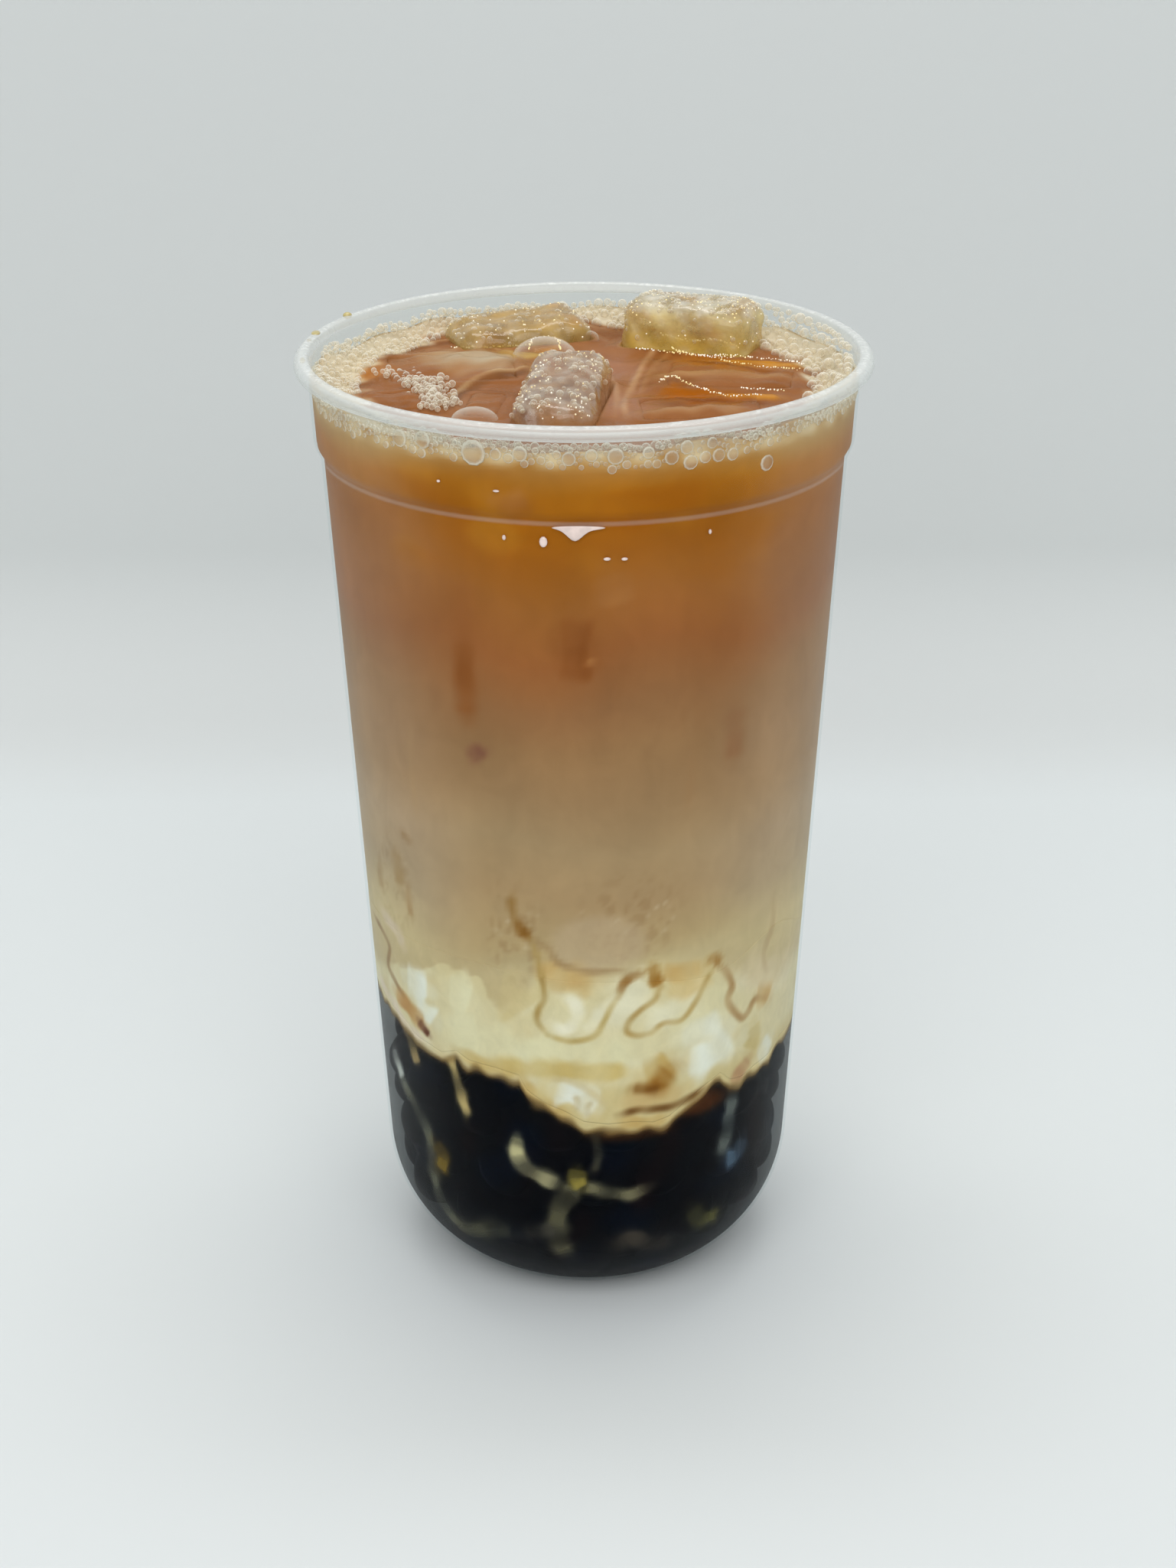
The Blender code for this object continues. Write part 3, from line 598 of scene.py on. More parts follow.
def paint_tea(wall):
    """Tea colours: amber under the foam, tan below, paler towards the sides with painted sheen, with smears
    and marks.
    """
    a, z, u = wall.azimuth, wall.height, wall.along
    drift = 2.2 * ripples(u, z * 0.6, 34, 3) * soft_step(z, 150, 138)
    # share of the paler sides: painted sheen of the turning wall
    side = soft_step(np.abs(a + 3 * ripples(u, z, 40, 5)), 24, 52)
    shade = over(along_scale(FRONT_TEA, z + drift), along_scale(SIDE_TEA_AND_SHEEN, z + drift), side)
    cloud = ripples(u, z * 1.3, 26, 11)
    shade = shade * (1 + 0.02 * cloud)[..., None]
    amber = soft_step(z, 128, 139) * soft_step(z, 150, 144) * soft_step(np.abs(a), 60, 30)
    glow = soft_step(ripples(u, z * 1.6, 17, 21), -0.1, 1.3)
    shade = over(shade, (178, 120, 36), 0.4 * glow * amber)
    shade = over(shade, (142, 74, 2), 0.35 * soft_step(ripples(u, z * 1.5, 19, 22), 0.1, 1.4) * amber)
    marks = (
        ((127, 72, 30), 0.75, 2.2, 0.9, ((-26.9, 121), (-27.5, 116), (-27.5, 111), (-27.1, 107.5))),
        ((134, 80, 40), 0.7, 2.4, 0.45, ((-26.5, 130), (-26.9, 126), (-27.0, 121))),
        ((112, 68, 54), 0.7, 1.4, 0.75, ((-26.6, 100.4), (-25.2, 101.8), (-23.1, 102.4))),
        ((132, 90, 58), 0.8, 2.4, 0.6, ((36, 108), (36.2, 103.4), (36.2, 98.6))),
        ((137, 84, 44), 0.8, 3.0, 0.4, ((33.4, 126), (34.6, 122), (32.6, 118.6))),
        ((124, 70, 30), 2.6, 1.6, 0.75, ((-5.5, 121.6), (-2, 121.8), (1.6, 121.2))),
        ((122, 68, 28), 2.2, 1.4, 0.8, ((-5.2, 118.2), (-1.8, 117.6), (1.8, 117.8))),
        ((172, 116, 66), 0.5, 0.8, 0.7, ((0.6, 118.7), (1.9, 118))),
        ((158, 104, 56), 1.6, 2.6, 0.6, ((5, 132.6), (6.5, 129.4), (7.5, 127))),
        ((160, 106, 60), 0.9, 1.6, 0.6, ((-19.5, 144.2), (-16, 143.2), (-11, 144.6))),
        ((134, 80, 30), 0.7, 1.8, 0.6, ((-18, 142.4), (-14, 142), (-10, 142.8))),
        ((146, 110, 74), 0.2, 1.0, 0.35, ((24, 109), (25, 100), (24, 92))),
        ((170, 138, 98), 0.2, 0.9, 0.3, ((-44, 104), (-45, 96), (-44, 88))),
    )
    for tone, half_width, feather, strength, points in marks:
        shade = over(shade, tone, strength * (1 - wall.back) * wall.stroke(points, half_width, feather))
    crinkle = np.abs(ripples(u, z, 3.6, 31)) + 0.5 * np.abs(ripples(u, z, 1.9, 32))
    zones = (
        soft_step(np.hypot((a + 18) / 8, (z - 72) / 9), 1.3, 0.5)
        + soft_step(np.hypot((a - 11) / 13, (z - 75) / 8), 1.3, 0.5)
        + 0.5 * soft_step(np.hypot((a + 57) / 10, (z - 74) / 9), 1.3, 0.5)
    )
    line = soft_step(crinkle, 0.22, 0.06)
    shade = over(shade, (186, 166, 136), 0.5 * np.clip(zones, 0, 1) * line)
    shade = over(shade, (136, 106, 70), 0.35 * np.clip(zones, 0, 1) * soft_step(crinkle, 0.9, 1.5))
    bulge = soft_step(np.hypot((a - 3) / 13, (z - 70) / 6), 1.1, 0.7)
    shade = over(shade, (174, 152, 122), 0.6 * bulge)
    return shade


def paint_milk(wall, cream):
    """Milk colours: cream under the tea's ragged foot, with smears, threads and patches laid over it."""
    a, z, u = wall.azimuth, wall.height, wall.along
    foot = np.interp(a, *np.array(TEA_FOOT).T) + 0.8 * ripples(u, z, 9, 41) + 0.35 * ripples(u, z, 3, 42)
    soft = 0.35 + 1.6 * soft_step(np.abs(a + 43), 15, 24)
    milk = soft_step(z, foot + soft, foot - 1.4 * soft)
    bed = over(np.broadcast_to(cream, (*z.shape, 3)), (194, 176, 128), soft_step(z, 57, 67) * 0.7)
    bed = over(bed, (214, 210, 186), 0.5 * soft_step(ripples(u * 0.8, z, 12, 43), 0.2, 1.5))
    bed = over(bed, (190, 168, 120), 0.35 * soft_step(ripples(u, z * 1.2, 10, 44), 0.6, 1.7))
    bed = over(bed, (188, 168, 114), 0.6 * soft_step(z, 46.5, 43))
    shade = over(paint_tea(wall), bed, milk)
    for tone, half_width, feather, strength, points in STROKES:
        shade = over(shade, tone, strength * wall.stroke(points, half_width, feather))
    return shade


def paint_syrup(wall, syrup, cream):
    """Syrup colours, and how far they cover the pearls: dark, with strands of milk, under the milk's edge."""
    a, z, u = wall.azimuth, wall.height, wall.along
    top = np.interp(a, *np.array(PEARL_TOP).T) + 0.45 * ripples(u, z, 5, 51)
    dark = np.broadcast_to(syrup, (*z.shape, 3))
    dark = over(dark, (4, 10, 22), soft_step(ripples(u, z, 16, 52), 0.0, 1.4))
    dark = over(dark, (22, 11, 12), 0.7 * soft_step(ripples(u, z, 14, 53), 0.3, 1.5))
    dark = over(dark, (86, 46, 18), 0.9 * soft_step(np.hypot((a - 32) / 11, (z - 38.6) / 2.6), 1.2, 0.3))
    dark = over(dark, (58, 32, 14), 0.8 * soft_step(np.hypot((a - 12) / 15, (z - 35.4) / 1.7), 1.2, 0.3))
    dark = over(dark, (24, 28, 26), 0.6 * soft_step(z, 11, 3) * (0.6 + 0.4 * ripples(u, z, 9, 54)))
    cover = 0.6 + 0.25 * soft_step(z, 14, 4)
    for tone, half_width, feather, strength, points in STRANDS:
        mask = strength * wall.stroke(points, half_width, feather)
        dark = over(dark, tone, mask)
        cover = np.maximum(cover, mask)
    edge = soft_step(z, top - 1.2, top + 0.5)
    shade = over(dark, paint_milk(wall, cream), edge)
    fringe = soft_step(np.abs(z - top + 0.4), 1.3, 0.2)
    shade = over(shade, (112, 84, 44), 0.55 * fringe)
    return shade, np.maximum(cover, soft_step(z, top - 1.8, top - 0.2))


def set_paint(piece, shades, name="paint"):
    """Store display colours as the piece's colour attribute, in scene-linear values."""
    shown = np.clip(shades / 255, 0, 1)
    values = np.where(shown <= 0.04045, shown / 12.92, ((shown + 0.055) / 1.055) ** 2.4)
    layer = piece.data.attributes.new(name, "FLOAT_COLOR", "POINT")
    layer.data.foreach_set("color", np.concatenate([values, np.ones((*values.shape[:-1], 1))], -1).ravel())


def set_share(piece, name, values):
    """Store one number per vertex."""
    layer = piece.data.attributes.new(name, "FLOAT", "POINT")
    layer.data.foreach_set("value", np.ascontiguousarray(values, np.float32).ravel())


def display(shade):
    """Display colour from 0 to 255 of a scene-linear colour."""
    value = np.array(shade[:3], float)
    return np.where(value <= 0.0031308, value * 12.92, 1.055 * value ** (1 / 2.4) - 0.055) * 255


# Materials


class Socket:
    """An output socket; arithmetic on it adds Math nodes."""

    def __init__(self, finish, socket):
        self.finish = finish
        self.socket = socket

    def _math(self, operation, *values, clamp=False):
        settings = {"operation": operation, "use_clamp": clamp}
        return self.finish.node("ShaderNodeMath", settings, dict(enumerate(values)))

    def __add__(self, other):
        return self._math("ADD", self, other)

    __radd__ = __add__

    def __mul__(self, other):
        return self._math("MULTIPLY", self, other)

    __rmul__ = __mul__

    def __sub__(self, other):
        return self._math("SUBTRACT", self, other)

    def __rsub__(self, other):
        return self._math("SUBTRACT", other, self)

    def __pow__(self, other):
        return self._math("POWER", self, other)

    def clamped(self):
        return self._math("ADD", self, 0.0, clamp=True)

    def step(self, low, high):
        """0 up to low and 1 from high on, smooth between."""
        return self.finish.node(
            "ShaderNodeMapRange",
            {"interpolation_type": "SMOOTHSTEP"},
            {"Value": self, "From Min": low, "From Max": high},
        )


class Finish:
    """A material made of nodes."""

    def __init__(self, name):
        self.material = bpy.data.materials.new(name)
        self.material.use_nodes = True
        self.tree = self.material.node_tree
        self.tree.nodes.clear()

    def node(self, kind, settings=None, inputs=None, out=0):
        """Add a node: its settings first, then its sockets' values or links. Gives one of its outputs."""
        made = self.tree.nodes.new(kind)
        for name, value in (settings or {}).items():
            if name == "stops":
                ramp = made.color_ramp
                while len(ramp.elements) < len(value):
                    ramp.elements.new(0.5)
                for element, (place, shade) in zip(ramp.elements, value):
                    element.position = place
                    element.color = (*shade, 1.0)
            else:
                setattr(made, name, value)
        for name, value in (inputs or {}).items():
            socket = made.inputs[name]
            if isinstance(value, Socket):
                self.tree.links.new(value.socket, socket)
            elif hasattr(value, "__len__") and len(value) == 3 and socket.type == "RGBA":
                socket.default_value = (*value, 1.0)
            else:
                socket.default_value = value
        return Socket(self, made.outputs[out])

    def place(self):
        """Object coordinates in metres."""
        return self.node("ShaderNodeTexCoord", out="Object")

    def axis(self, name):
        return self.node("ShaderNodeSeparateXYZ", None, {0: self.place()}, out=name)

    def noise(self, scale, detail=3.0, roughness=0.5, distortion=0.0, vector=None):
        """Noise from 0 to 1 with about scale patches in a metre."""
        inputs = {"Scale": scale, "Detail": detail, "Roughness": roughness, "Distortion": distortion}
        return self.node("ShaderNodeTexNoise", None, {"Vector": vector or self.place(), **inputs})

    def stretched(self, x, y, z):
        """Object coordinates scaled along each axis, for patterns that run one way."""
        inputs = {"Vector": self.place(), "Scale": (x, y, z)}
        return self.node("ShaderNodeMapping", {"vector_type": "POINT"}, inputs)

    def attribute(self, name, out="Color"):
        return self.node("ShaderNodeAttribute", {"attribute_name": name}, out=out)

    def facing(self):
        """0 where the surface faces the eye, 1 at its silhouette."""
        return self.node("ShaderNodeLayerWeight", None, {"Blend": 0.5}, out="Facing")

    def blend(self, share, a, b):
        """Colour a with colour b laid over it by share."""
        return self.node("ShaderNodeMix", {"data_type": "RGBA"}, {0: share, 6: a, 7: b}, out=2)

    def scaled(self, shade, factor):
        """A colour made lighter or darker by a factor, its hue kept."""
        return self.node("ShaderNodeVectorMath", {"operation": "SCALE"}, {0: shade, "Scale": factor})

    def bump(self, height, distance):
        """A normal from a height between 0 and 1 that stands for a distance in metres."""
        return self.node("ShaderNodeBump", None, {"Height": height, "Distance": distance, "Strength": 1.0})

    def transparent(self, tint=(1.0, 1.0, 1.0)):
        """A shader that lets what lies behind it through, tinted."""
        return self.node("ShaderNodeBsdfTransparent", None, {"Color": tint})

    def gloss(self, tint, roughness, **inputs):
        """A mirror-like shader with a roughness."""
        return self.node("ShaderNodeBsdfAnisotropic", None, {"Color": tint, "Roughness": roughness, **inputs})

    def principled(self, **inputs):
        """A Principled shader; underscores in names stand for spaces."""
        named = {name.replace("_", " "): value for name, value in inputs.items()}
        return self.node("ShaderNodeBsdfPrincipled", None, named)

    def mixed(self, share, a, b):
        return self.node("ShaderNodeMixShader", None, {0: share, 1: a, 2: b})

    def output(self, surface):
        """Link the shader to the material's output, and give the material."""
        end = self.tree.nodes.new("ShaderNodeOutputMaterial")
        self.tree.links.new(surface.socket, end.inputs["Surface"])
        return self.material


def clear_plastic(cup):
    """Clear plastic, glossy at a slant, milky along the rim, with faint streaks from moulding, and painted
    highlight lines on the rim's ridge, the skirt's lower edge and the shoulder.
    """
    finish = Finish("clear_plastic")
    x, y, z = (finish.axis(name) for name in "XYZ")
    radius = (x * x + y * y) ** 0.5
    streaks = finish.noise(1.0, 2.0, vector=finish.stretched(900, 900, 60))
    specks = finish.noise(420, 4.0, 0.6)
    gloss = finish.facing() ** 3.0 * 0.14 + 0.001
    clear = finish.mixed(
        gloss.clamped(), finish.transparent(tuple(cup.plastic)), finish.gloss((0.95, 0.97, 0.98), 0.09)
    )
    milky = finish.principled(
        Base_Color=tuple(cup.haze_and_highlights),
        Roughness=0.22 + specks * 0.12,
        Normal=finish.bump(streaks, 0.04 * MM),
        Coat_Weight=0.5,
    )

    def below(low, high):
        """0 up to low and 1 from high on, both in mm under the rim's top."""
        return z.step(RIM_TOP - low * MM, RIM_TOP - high * MM)

    outer = radius.step(RIM_RADIUS - 1.8 * MM, RIM_RADIUS - 1.2 * MM)
    rim = below(1.9, 1.0) * 0.26
    # painted highlight lines: the ridge (streaked), the skirt's lower edge and the shoulder step; the rest of
    # the skirt and the band near the top are milky haze
    ridge = below(0.4, 0.1) * (0.16 + streaks.step(0.45, 0.7) * 0.2)
    skirt = outer * 0.08 + outer * below(1.75, 2.0) * 0.3
    above = below(5.5, 3.5) * 0.11
    shoulder = below(15.9, 15.4) * below(14.7, 15.2) * 0.12
    share = rim + ridge + skirt + above + shoulder + streaks * 0.002
    return finish.output(finish.mixed(share.clamped(), clear, milky))


def drink_finish(name, grain, gloss):
    """An opaque liquid whose colours come from its paint, with fine clouding and soft streaks."""
    finish = Finish(name)
    paint = finish.attribute("paint")
    cloud = finish.noise(grain, 5.0, 0.6, 0.6)
    threads = finish.noise(1.0, 4.0, 0.6, 0.8, finish.stretched(260, 260, 130))
    shader = finish.principled(
        Base_Color=finish.scaled(paint, 0.92 + cloud * 0.3 + threads * 0.18),
        Roughness=0.5 - cloud * 0.1,
        IOR=gloss,
        Normal=finish.bump(cloud, 0.00006),
    )
    return finish, shader


def pearl_finish(drink):
    """Smooth dark tapioca: near black, with a brown or blue cast that differs from pearl to pearl."""
    finish = Finish("pearl")
    cast = finish.attribute("cast", "Fac")
    cloud = finish.noise(240, 4.0, 0.55)
    dark = tuple(drink.pearl)
    tint = finish.blend(cast, dark, linear(6, 11, 20))
    warm = finish.blend(cloud.step(0.4, 0.75) * 0.8, tint, linear(24, 12, 14))
    shader = finish.principled(
        Base_Color=warm, Roughness=0.35 + cloud * 0.2, IOR=1.08, Normal=finish.bump(cloud, 0.0002)
    )
    return finish.output(shader)


def syrup_finish():
    """Dark syrup and strands of milk; it shows what lies behind it where the strands leave it thin."""
    finish, shader = drink_finish("syrup", 330, 1.05)
    cover = finish.attribute("cover", "Fac")
    return finish.output(finish.mixed(cover.clamped(), finish.transparent(), shader))


def tea_finish(name):
    """Tea: matt against the wall, wet on top where the paint's gloss says so."""
    finish = Finish(name)
    paint = finish.attribute("paint")
    wet = finish.attribute("wet", "Fac")
    cloud = finish.noise(150, 6.0, 0.62, 0.9)
    fine = finish.noise(900, 3.0, 0.5)
    threads = finish.noise(1.0, 4.0, 0.6, 0.8, finish.stretched(220, 220, 90))
    shade = finish.scaled(paint, 0.92 + cloud * 0.3 + threads * 0.18)
    dry = finish.principled(
        Base_Color=shade, Roughness=0.55 - fine * 0.1, IOR=1.12, Normal=finish.bump(cloud, 0.00005)
    )
    moist = finish.principled(
        Base_Color=shade, Roughness=0.1 + fine * 0.08, IOR=1.08, Normal=finish.bump(cloud, 0.0004)
    )
    return finish.output(finish.mixed(wet, dry, moist))


def ice_finish(name, ice, tint):
    """Melting ice: clear with a tint where bare, painted where the tea coats it, cloudy where air is
    frozen in, with lit ridges along its melted edges."""
    finish = Finish(name)
    paint = finish.attribute("paint")
    coated = finish.attribute("coated", "Fac")
    frosted = finish.attribute("frosted", "Fac")
    lumps = finish.noise(260, 4.0, 0.55, 0.5)
    inputs = {"Vector": finish.place(), "Scale": 620.0}
    cells = finish.node("ShaderNodeTexVoronoi", {"feature": "SMOOTH_F1"}, inputs, out="Distance")
    relief = finish.bump(lumps + cells * 0.3, 0.00025)
    clear = finish.mixed(
        (finish.facing() ** 3.0 * 0.5 + 0.05).clamped(),
        finish.transparent(tint),
        finish.gloss((1.0, 0.98, 0.94), 0.05, Normal=relief),
    )
    coat = finish.principled(
        Base_Color=finish.scaled(paint, 1.02 + lumps * 0.3),
        Roughness=0.08 + lumps * 0.08,
        IOR=1.33,
        Normal=relief,
    )
    frost = finish.principled(
        Base_Color=finish.blend(cells.step(0.2, 0.75) * 0.8, tuple(ice.frost), paint),
        Roughness=0.25,
        Coat_Weight=0.8,
        Normal=finish.bump(lumps * 0.5 + cells, 0.0006),
    )
    body = finish.mixed((coated + (lumps - 0.5) * 0.9).clamped(), clear, coat)
    return finish.output(finish.mixed((frosted * cells.step(0.85, 0.25)).clamped(), body, frost))


def bubble_finish(name, drink, outline, body, flat=False):
    """A thin film: clear in the middle, pale and glossy towards its outline. A flat bubble has its outline
    at its rim, where it lies on the wall; a round one has it where its surface turns from the eye."""
    finish = Finish(name)
    swirl = finish.noise(500, 3.0, 0.5)
    film = finish.principled(
        Base_Color=tuple(drink.bubble), Roughness=0.12 + swirl * 0.08, Coat_Weight=1.0, IOR=1.33
    )
    clear = finish.transparent((0.98, 0.96, 0.92))
    edge = finish.attribute("rim", "Fac").step(0.6, 0.97) if flat else finish.facing() ** 2.2
    return finish.output(finish.mixed((edge * outline + swirl * body).clamped(), clear, film))


def sparkle_finish(name):
    """Wet beads that catch the light, with a golden or white cast and a faint glow of their own: painted
    highlights.
    """
    finish = Finish(name)
    tone = finish.noise(180, 2.0)
    shade = finish.blend(tone.step(0.4, 0.6), linear(255, 236, 170), linear(255, 250, 236))
    return finish.output(
        finish.principled(
            Base_Color=shade,
            Roughness=0.08 + tone * 0.05,
            Coat_Weight=1.0,
            Emission_Color=shade,
            Emission_Strength=0.25,
        )
    )


def drip_finish(name, shade):
    """Dried milk or tea: smooth, slightly glossy, thinner at its edge."""
    finish = Finish(name)
    cloud = finish.noise(700, 3.0)
    pale = finish.blend(cloud.step(0.3, 0.7) * 0.4, shade, tuple(0.6 * c for c in shade))
    return finish.output(finish.principled(Base_Color=pale, Roughness=0.2 + cloud * 0.1, Coat_Weight=0.6))


# Pieces


# Ice: node, centre in plan, height of the top, size (wide, deep, high), turn about Z, tilt, in mm and degrees
ICE = (
    ("ice_back_left", (-10.6, 28.0), 153.8, (23, 14, 20), 17, (3, -4)),
    ("ice_back_right", (17.6, 22.8), 157.8, (22, 13, 23.6), -20, (-3, 0)),
    ("ice_left", (-21.0, 7.8), 150.2, (23, 18, 20), 6, (0.6, -0.6)),
    ("ice_right", (23.0, 3.0), 150.3, (22, 17, 20), -4, (-0.6, 0.8)),
    ("ice_centre", (-3.0, -13.0), 155.0, (13, 28, 21.6), -8, (5, -3)),
    ("ice_centre_left", (-15.2, -13.5), 150.3, (8, 15, 18), -6, (0.8, 1)),
    ("ice_front_left", (-28.6, -11.5), 150.3, (11, 13, 18), 20, (1, 0)),
    ("ice_front_right", (17.5, -15.8), 150.3, (21, 14, 19), 4, (-0.6, -1)),
)
# Colours of each high cube: under it, of its sides, its top and its foot, how far coated and how far frosted
ICE_LOOKS = {
    "ice_back_left": ((192, 166, 100), (190, 170, 108), (176, 142, 82), (172, 142, 84), 0.5, 0.15),
    "ice_back_right": ((212, 190, 108), (210, 190, 130), (186, 176, 150), (204, 170, 78), 0.5, 0.65),
    "ice_centre": ((172, 132, 94), (174, 142, 108), (168, 142, 114), (156, 114, 76), 0.25, 0.35),
}
HIGH_ICE = tuple(ICE_LOOKS)
# Strokes on the drink's top, seen from above: colour, half width and feather in mm, strength, rise in mm,
# points (x, y)
TOP_STROKES = (
    # pinkish valleys between the ice
    ((164, 114, 90), 3.0, 3.2, 0.8, -0.2, ((4, 19), (5.6, 8), (5.6, -2), (5.4, -12), (5, -22))),
    ((150, 96, 58), 2.2, 3.0, 0.7, 0.0, ((-17, -10), (-13, -12.5), (-9.6, -17), (-8, -24))),
    # smooth back of the left cube with a pale painted highlight across it (the second stroke), amber at its
    # left end, yellow at its right
    ((180, 148, 116), 5.0, 4.0, 0.9, 0.4, ((-28, 12), (-22, 12.4), (-15, 10), (-11, 9))),
    ((184, 164, 142), 2.6, 4.6, 0.95, 0.4, ((-21, 14), (-16.6, 11.4), (-14, 8.4))),
    ((178, 112, 48), 1.8, 3.0, 0.9, 0.0, ((-36, 12), (-33.4, 7), (-32, 2))),
    ((190, 156, 84), 1.8, 2.4, 0.9, 0.2, ((-14.4, 17.4), (-10, 16), (-7.4, 13.4))),
    # dark line along the cube's far outline, with a thin painted highlight line just behind it
    ((106, 62, 30), 0.5, 1.4, 0.6, 0.0,
     ((-32, 13.2), (-29.2, 20.6), (-24.1, 23.6), (-19.4, 23), (-13.4, 16.8))),
    ((206, 176, 138), 0.1, 0.7, 0.5, 0.15,
     ((-32, 14.4), (-29.2, 21.9), (-24.1, 24.9), (-19.4, 24.3), (-9, 14))),
    # brown painted shadow under the cube's lit near edge, with a thin painted highlight line on that edge
    ((108, 66, 34), 0.7, 1.6, 0.7, 0.0,
     ((-22.3, -17.3), (-19.4, -6.8), (-15.2, 1), (-11.4, 3.4), (-6.8, 8))),
    ((212, 184, 146), 0.12, 0.9, 0.5, 0.2,
     ((-22.3, -16), (-19.6, -5), (-15.5, 3.1), (-11.8, 5.5), (-6.8, 10.3))),
    # rims of the valley, raised a little: thin lines, the first two pale painted highlights
    ((208, 174, 140), 0.1, 0.9, 0.4, 0.15, ((0, 18.9), (2.4, 13.8), (4.2, 4), (5, -7.7), (4.6, -18.9))),
    ((208, 172, 136), 0.1, 0.9, 0.55, 0.2,
     ((13.4, 23.8), (11, 17.4), (9.2, 10), (7.5, -0.8), (6.1, -12.3), (6.4, -20))),
    ((180, 132, 90), 0.1, 0.8, 0.4, 0.1, ((16, 22), (12.8, 15), (10.8, 8), (9.4, 0), (8.4, -7))),
    # amber right of it, in two bands with a smooth stripe between them
    ((166, 100, 26), 3.8, 2.2, 0.95, 0.0, ((14.6, 16.0), (19.4, 11.4), (24.6, 8.4), (31, 5.4))),
    ((204, 140, 44), 0.9, 1.6, 0.85, 0.2, ((22, 11.6), (28, 9.4), (35, 7.6))),
    ((118, 60, 10), 0.5, 1.1, 0.7, 0.0, ((15.6, 12.0), (20.2, 9.2), (26, 5.4), (32, 3.2))),
    ((160, 86, 8), 4.0, 2.0, 1.0, 0.0, ((10.6, -6.4), (14.4, -7.8), (19.4, -10.8), (26, -11.4))),
    ((206, 138, 40), 0.9, 1.5, 0.85, 0.2, ((20.4, -9), (25.4, -9.8), (30.4, -9.4))),
    ((116, 58, 10), 0.5, 1.1, 0.7, 0.0, ((11.6, -10.6), (17, -12.6), (23, -13.4), (29, -13.4))),
    ((172, 126, 84), 1.1, 1.6, 0.9, 0.3, ((9.6, 1.2), (16, 2.4), (22.2, 1.6), (34, 0.4))),
    ((176, 134, 98), 1.0, 1.4, 0.7, 0.4, ((8.4, -18), (13, -18.6), (19, -18.4), (25, -19))),
    # amber under the large bubble
    ((184, 126, 40), 1.6, 1.4, 0.95, 0.0, ((-8.4, 19.4), (-6.4, 20), (-4.2, 19.6))),
)


def top_strokes(x, y):
    """Each stroke's colour, strength and rise at places on the drink's top."""
    for tone, half_width, feather, strength, rise, points in TOP_STROKES:
        share = stroke_strength(x / MM, y / MM, curve_through(points), half_width, feather, len(points))
        yield tone, strength * share, rise * share


def relief(x, y):
    """Height of the ridges and hollows of the drink's top over its level."""
    return MM * sum(rise for _, _, rise in top_strokes(x, y))


def ice_apart(x, y):
    """Distance in plan from each point to the nearest cube, negative inside, and which cube that is."""
    best = np.full(x.shape, 1.0)
    which = np.zeros(x.shape, int)
    for k, (_, (cx, cy), _, (wide, deep, _), turn, _) in enumerate(ICE):
        c, s = math.cos(math.radians(turn)), math.sin(math.radians(turn))
        dx, dy = x - cx * MM, y - cy * MM
        u = np.abs(dx * c + dy * s) - (wide / 2 - 2) * MM
        v = np.abs(dy * c - dx * s) - (deep / 2 - 2) * MM
        apart = np.hypot(np.maximum(u, 0), np.maximum(v, 0)) + np.minimum(np.maximum(u, v), 0) - 2 * MM
        closer = apart < best
        best = np.where(closer, apart, best)
        which = np.where(closer, k, which)
    return best, which


def milk_surface(x, y, level):
    """Height of the boundary between milk and tea: slow swells about the level."""
    u, v = x / (10 * MM), y / (10 * MM)
    swell = 2.0 * np.sin(1.1 * u + 0.6) * np.cos(0.9 * v - 0.3) + 1.3 * np.sin(2.1 * v + 1.2 * u + 2.0)
    return level + swell * MM


def tea_surface(x, y, drink, edge):
    """Height of the tea: level, drawn up a little at the ice, sunk under it, with a lumpy collar of foam."""
    radius = np.hypot(x, y)
    turn = np.arctan2(y, x)
    collar = soft_step(radius, edge - drink.foam_width, edge - 1.0 * MM)
    lump = 1 + 0.3 * np.sin(9 * turn) * np.sin(5 * turn + 1) + 0.2 * np.sin(17 * turn + 2)
    apart, which = ice_apart(x, y)
    meniscus = 0.8 * MM * np.exp(-np.clip(apart, 0, None) / (2.4 * MM))
    deep = np.array([0.2 if entry[0] in HIGH_ICE else 1.6 for entry in ICE])[which] * MM
    hollow = 5.5 * MM * soft_step(-apart, deep, deep + 1.6 * MM)
    swell = 0.25 * MM * ripples(x, y, 14 * MM, 61)
    open_tea = soft_step(apart, -1.6 * MM, -0.6 * MM) * (1 - collar)
    level = drink.tea_level + drink.foam_rise * collar * lump + meniscus - hollow
    return level + swell * soft_step(apart, 0, 0.002) + relief(x, y) * open_tea


def layer_grid(form, inset, columns, lower, upper, side_heights, rings):
    """Radius and height of a layer's closed surface: its lower face from the axis out, its side, and its
    upper face back to the axis. lower and upper give a height for (x, y); side_heights are in between 0
    and 1 of the way up."""
    turn = np.arange(columns) * FULL_TURN / columns
    sine, cosine = np.sin(turn), -np.cos(turn)

    def face(height, guess, shares):
        edge = np.full(columns, float(form.radius(guess, inset)))
        for _ in range(3):
            z_edge = height(edge * sine, edge * cosine)
            edge = form.radius(z_edge, inset)
        radius = shares[:, None] * edge
        return radius, height(radius * sine, radius * cosine)

    low_r, low_z = face(lower[0], lower[1], np.linspace(0, 1, 9))
    high_r, high_z = face(upper[0], upper[1], rings)
    share = np.asarray(side_heights)[:, None]
    side_z = low_z[-1] * (1 - share) + high_z[0] * share
    side_r = form.radius(side_z, inset)
    return np.concatenate([low_r, side_r, high_r]), np.concatenate([low_z, side_z, high_z])


def sizes():
    return bpy.context.scene.milk_tea


class MilkTeaSettings(bpy.types.PropertyGroup):
    """All settings of the cup of milk tea."""

    cup: PointerProperty(type=CupSettings)
    drink: PointerProperty(type=DrinkSettings)
    ice: PointerProperty(type=IceSettings)
    stage: PointerProperty(type=StageSettings)


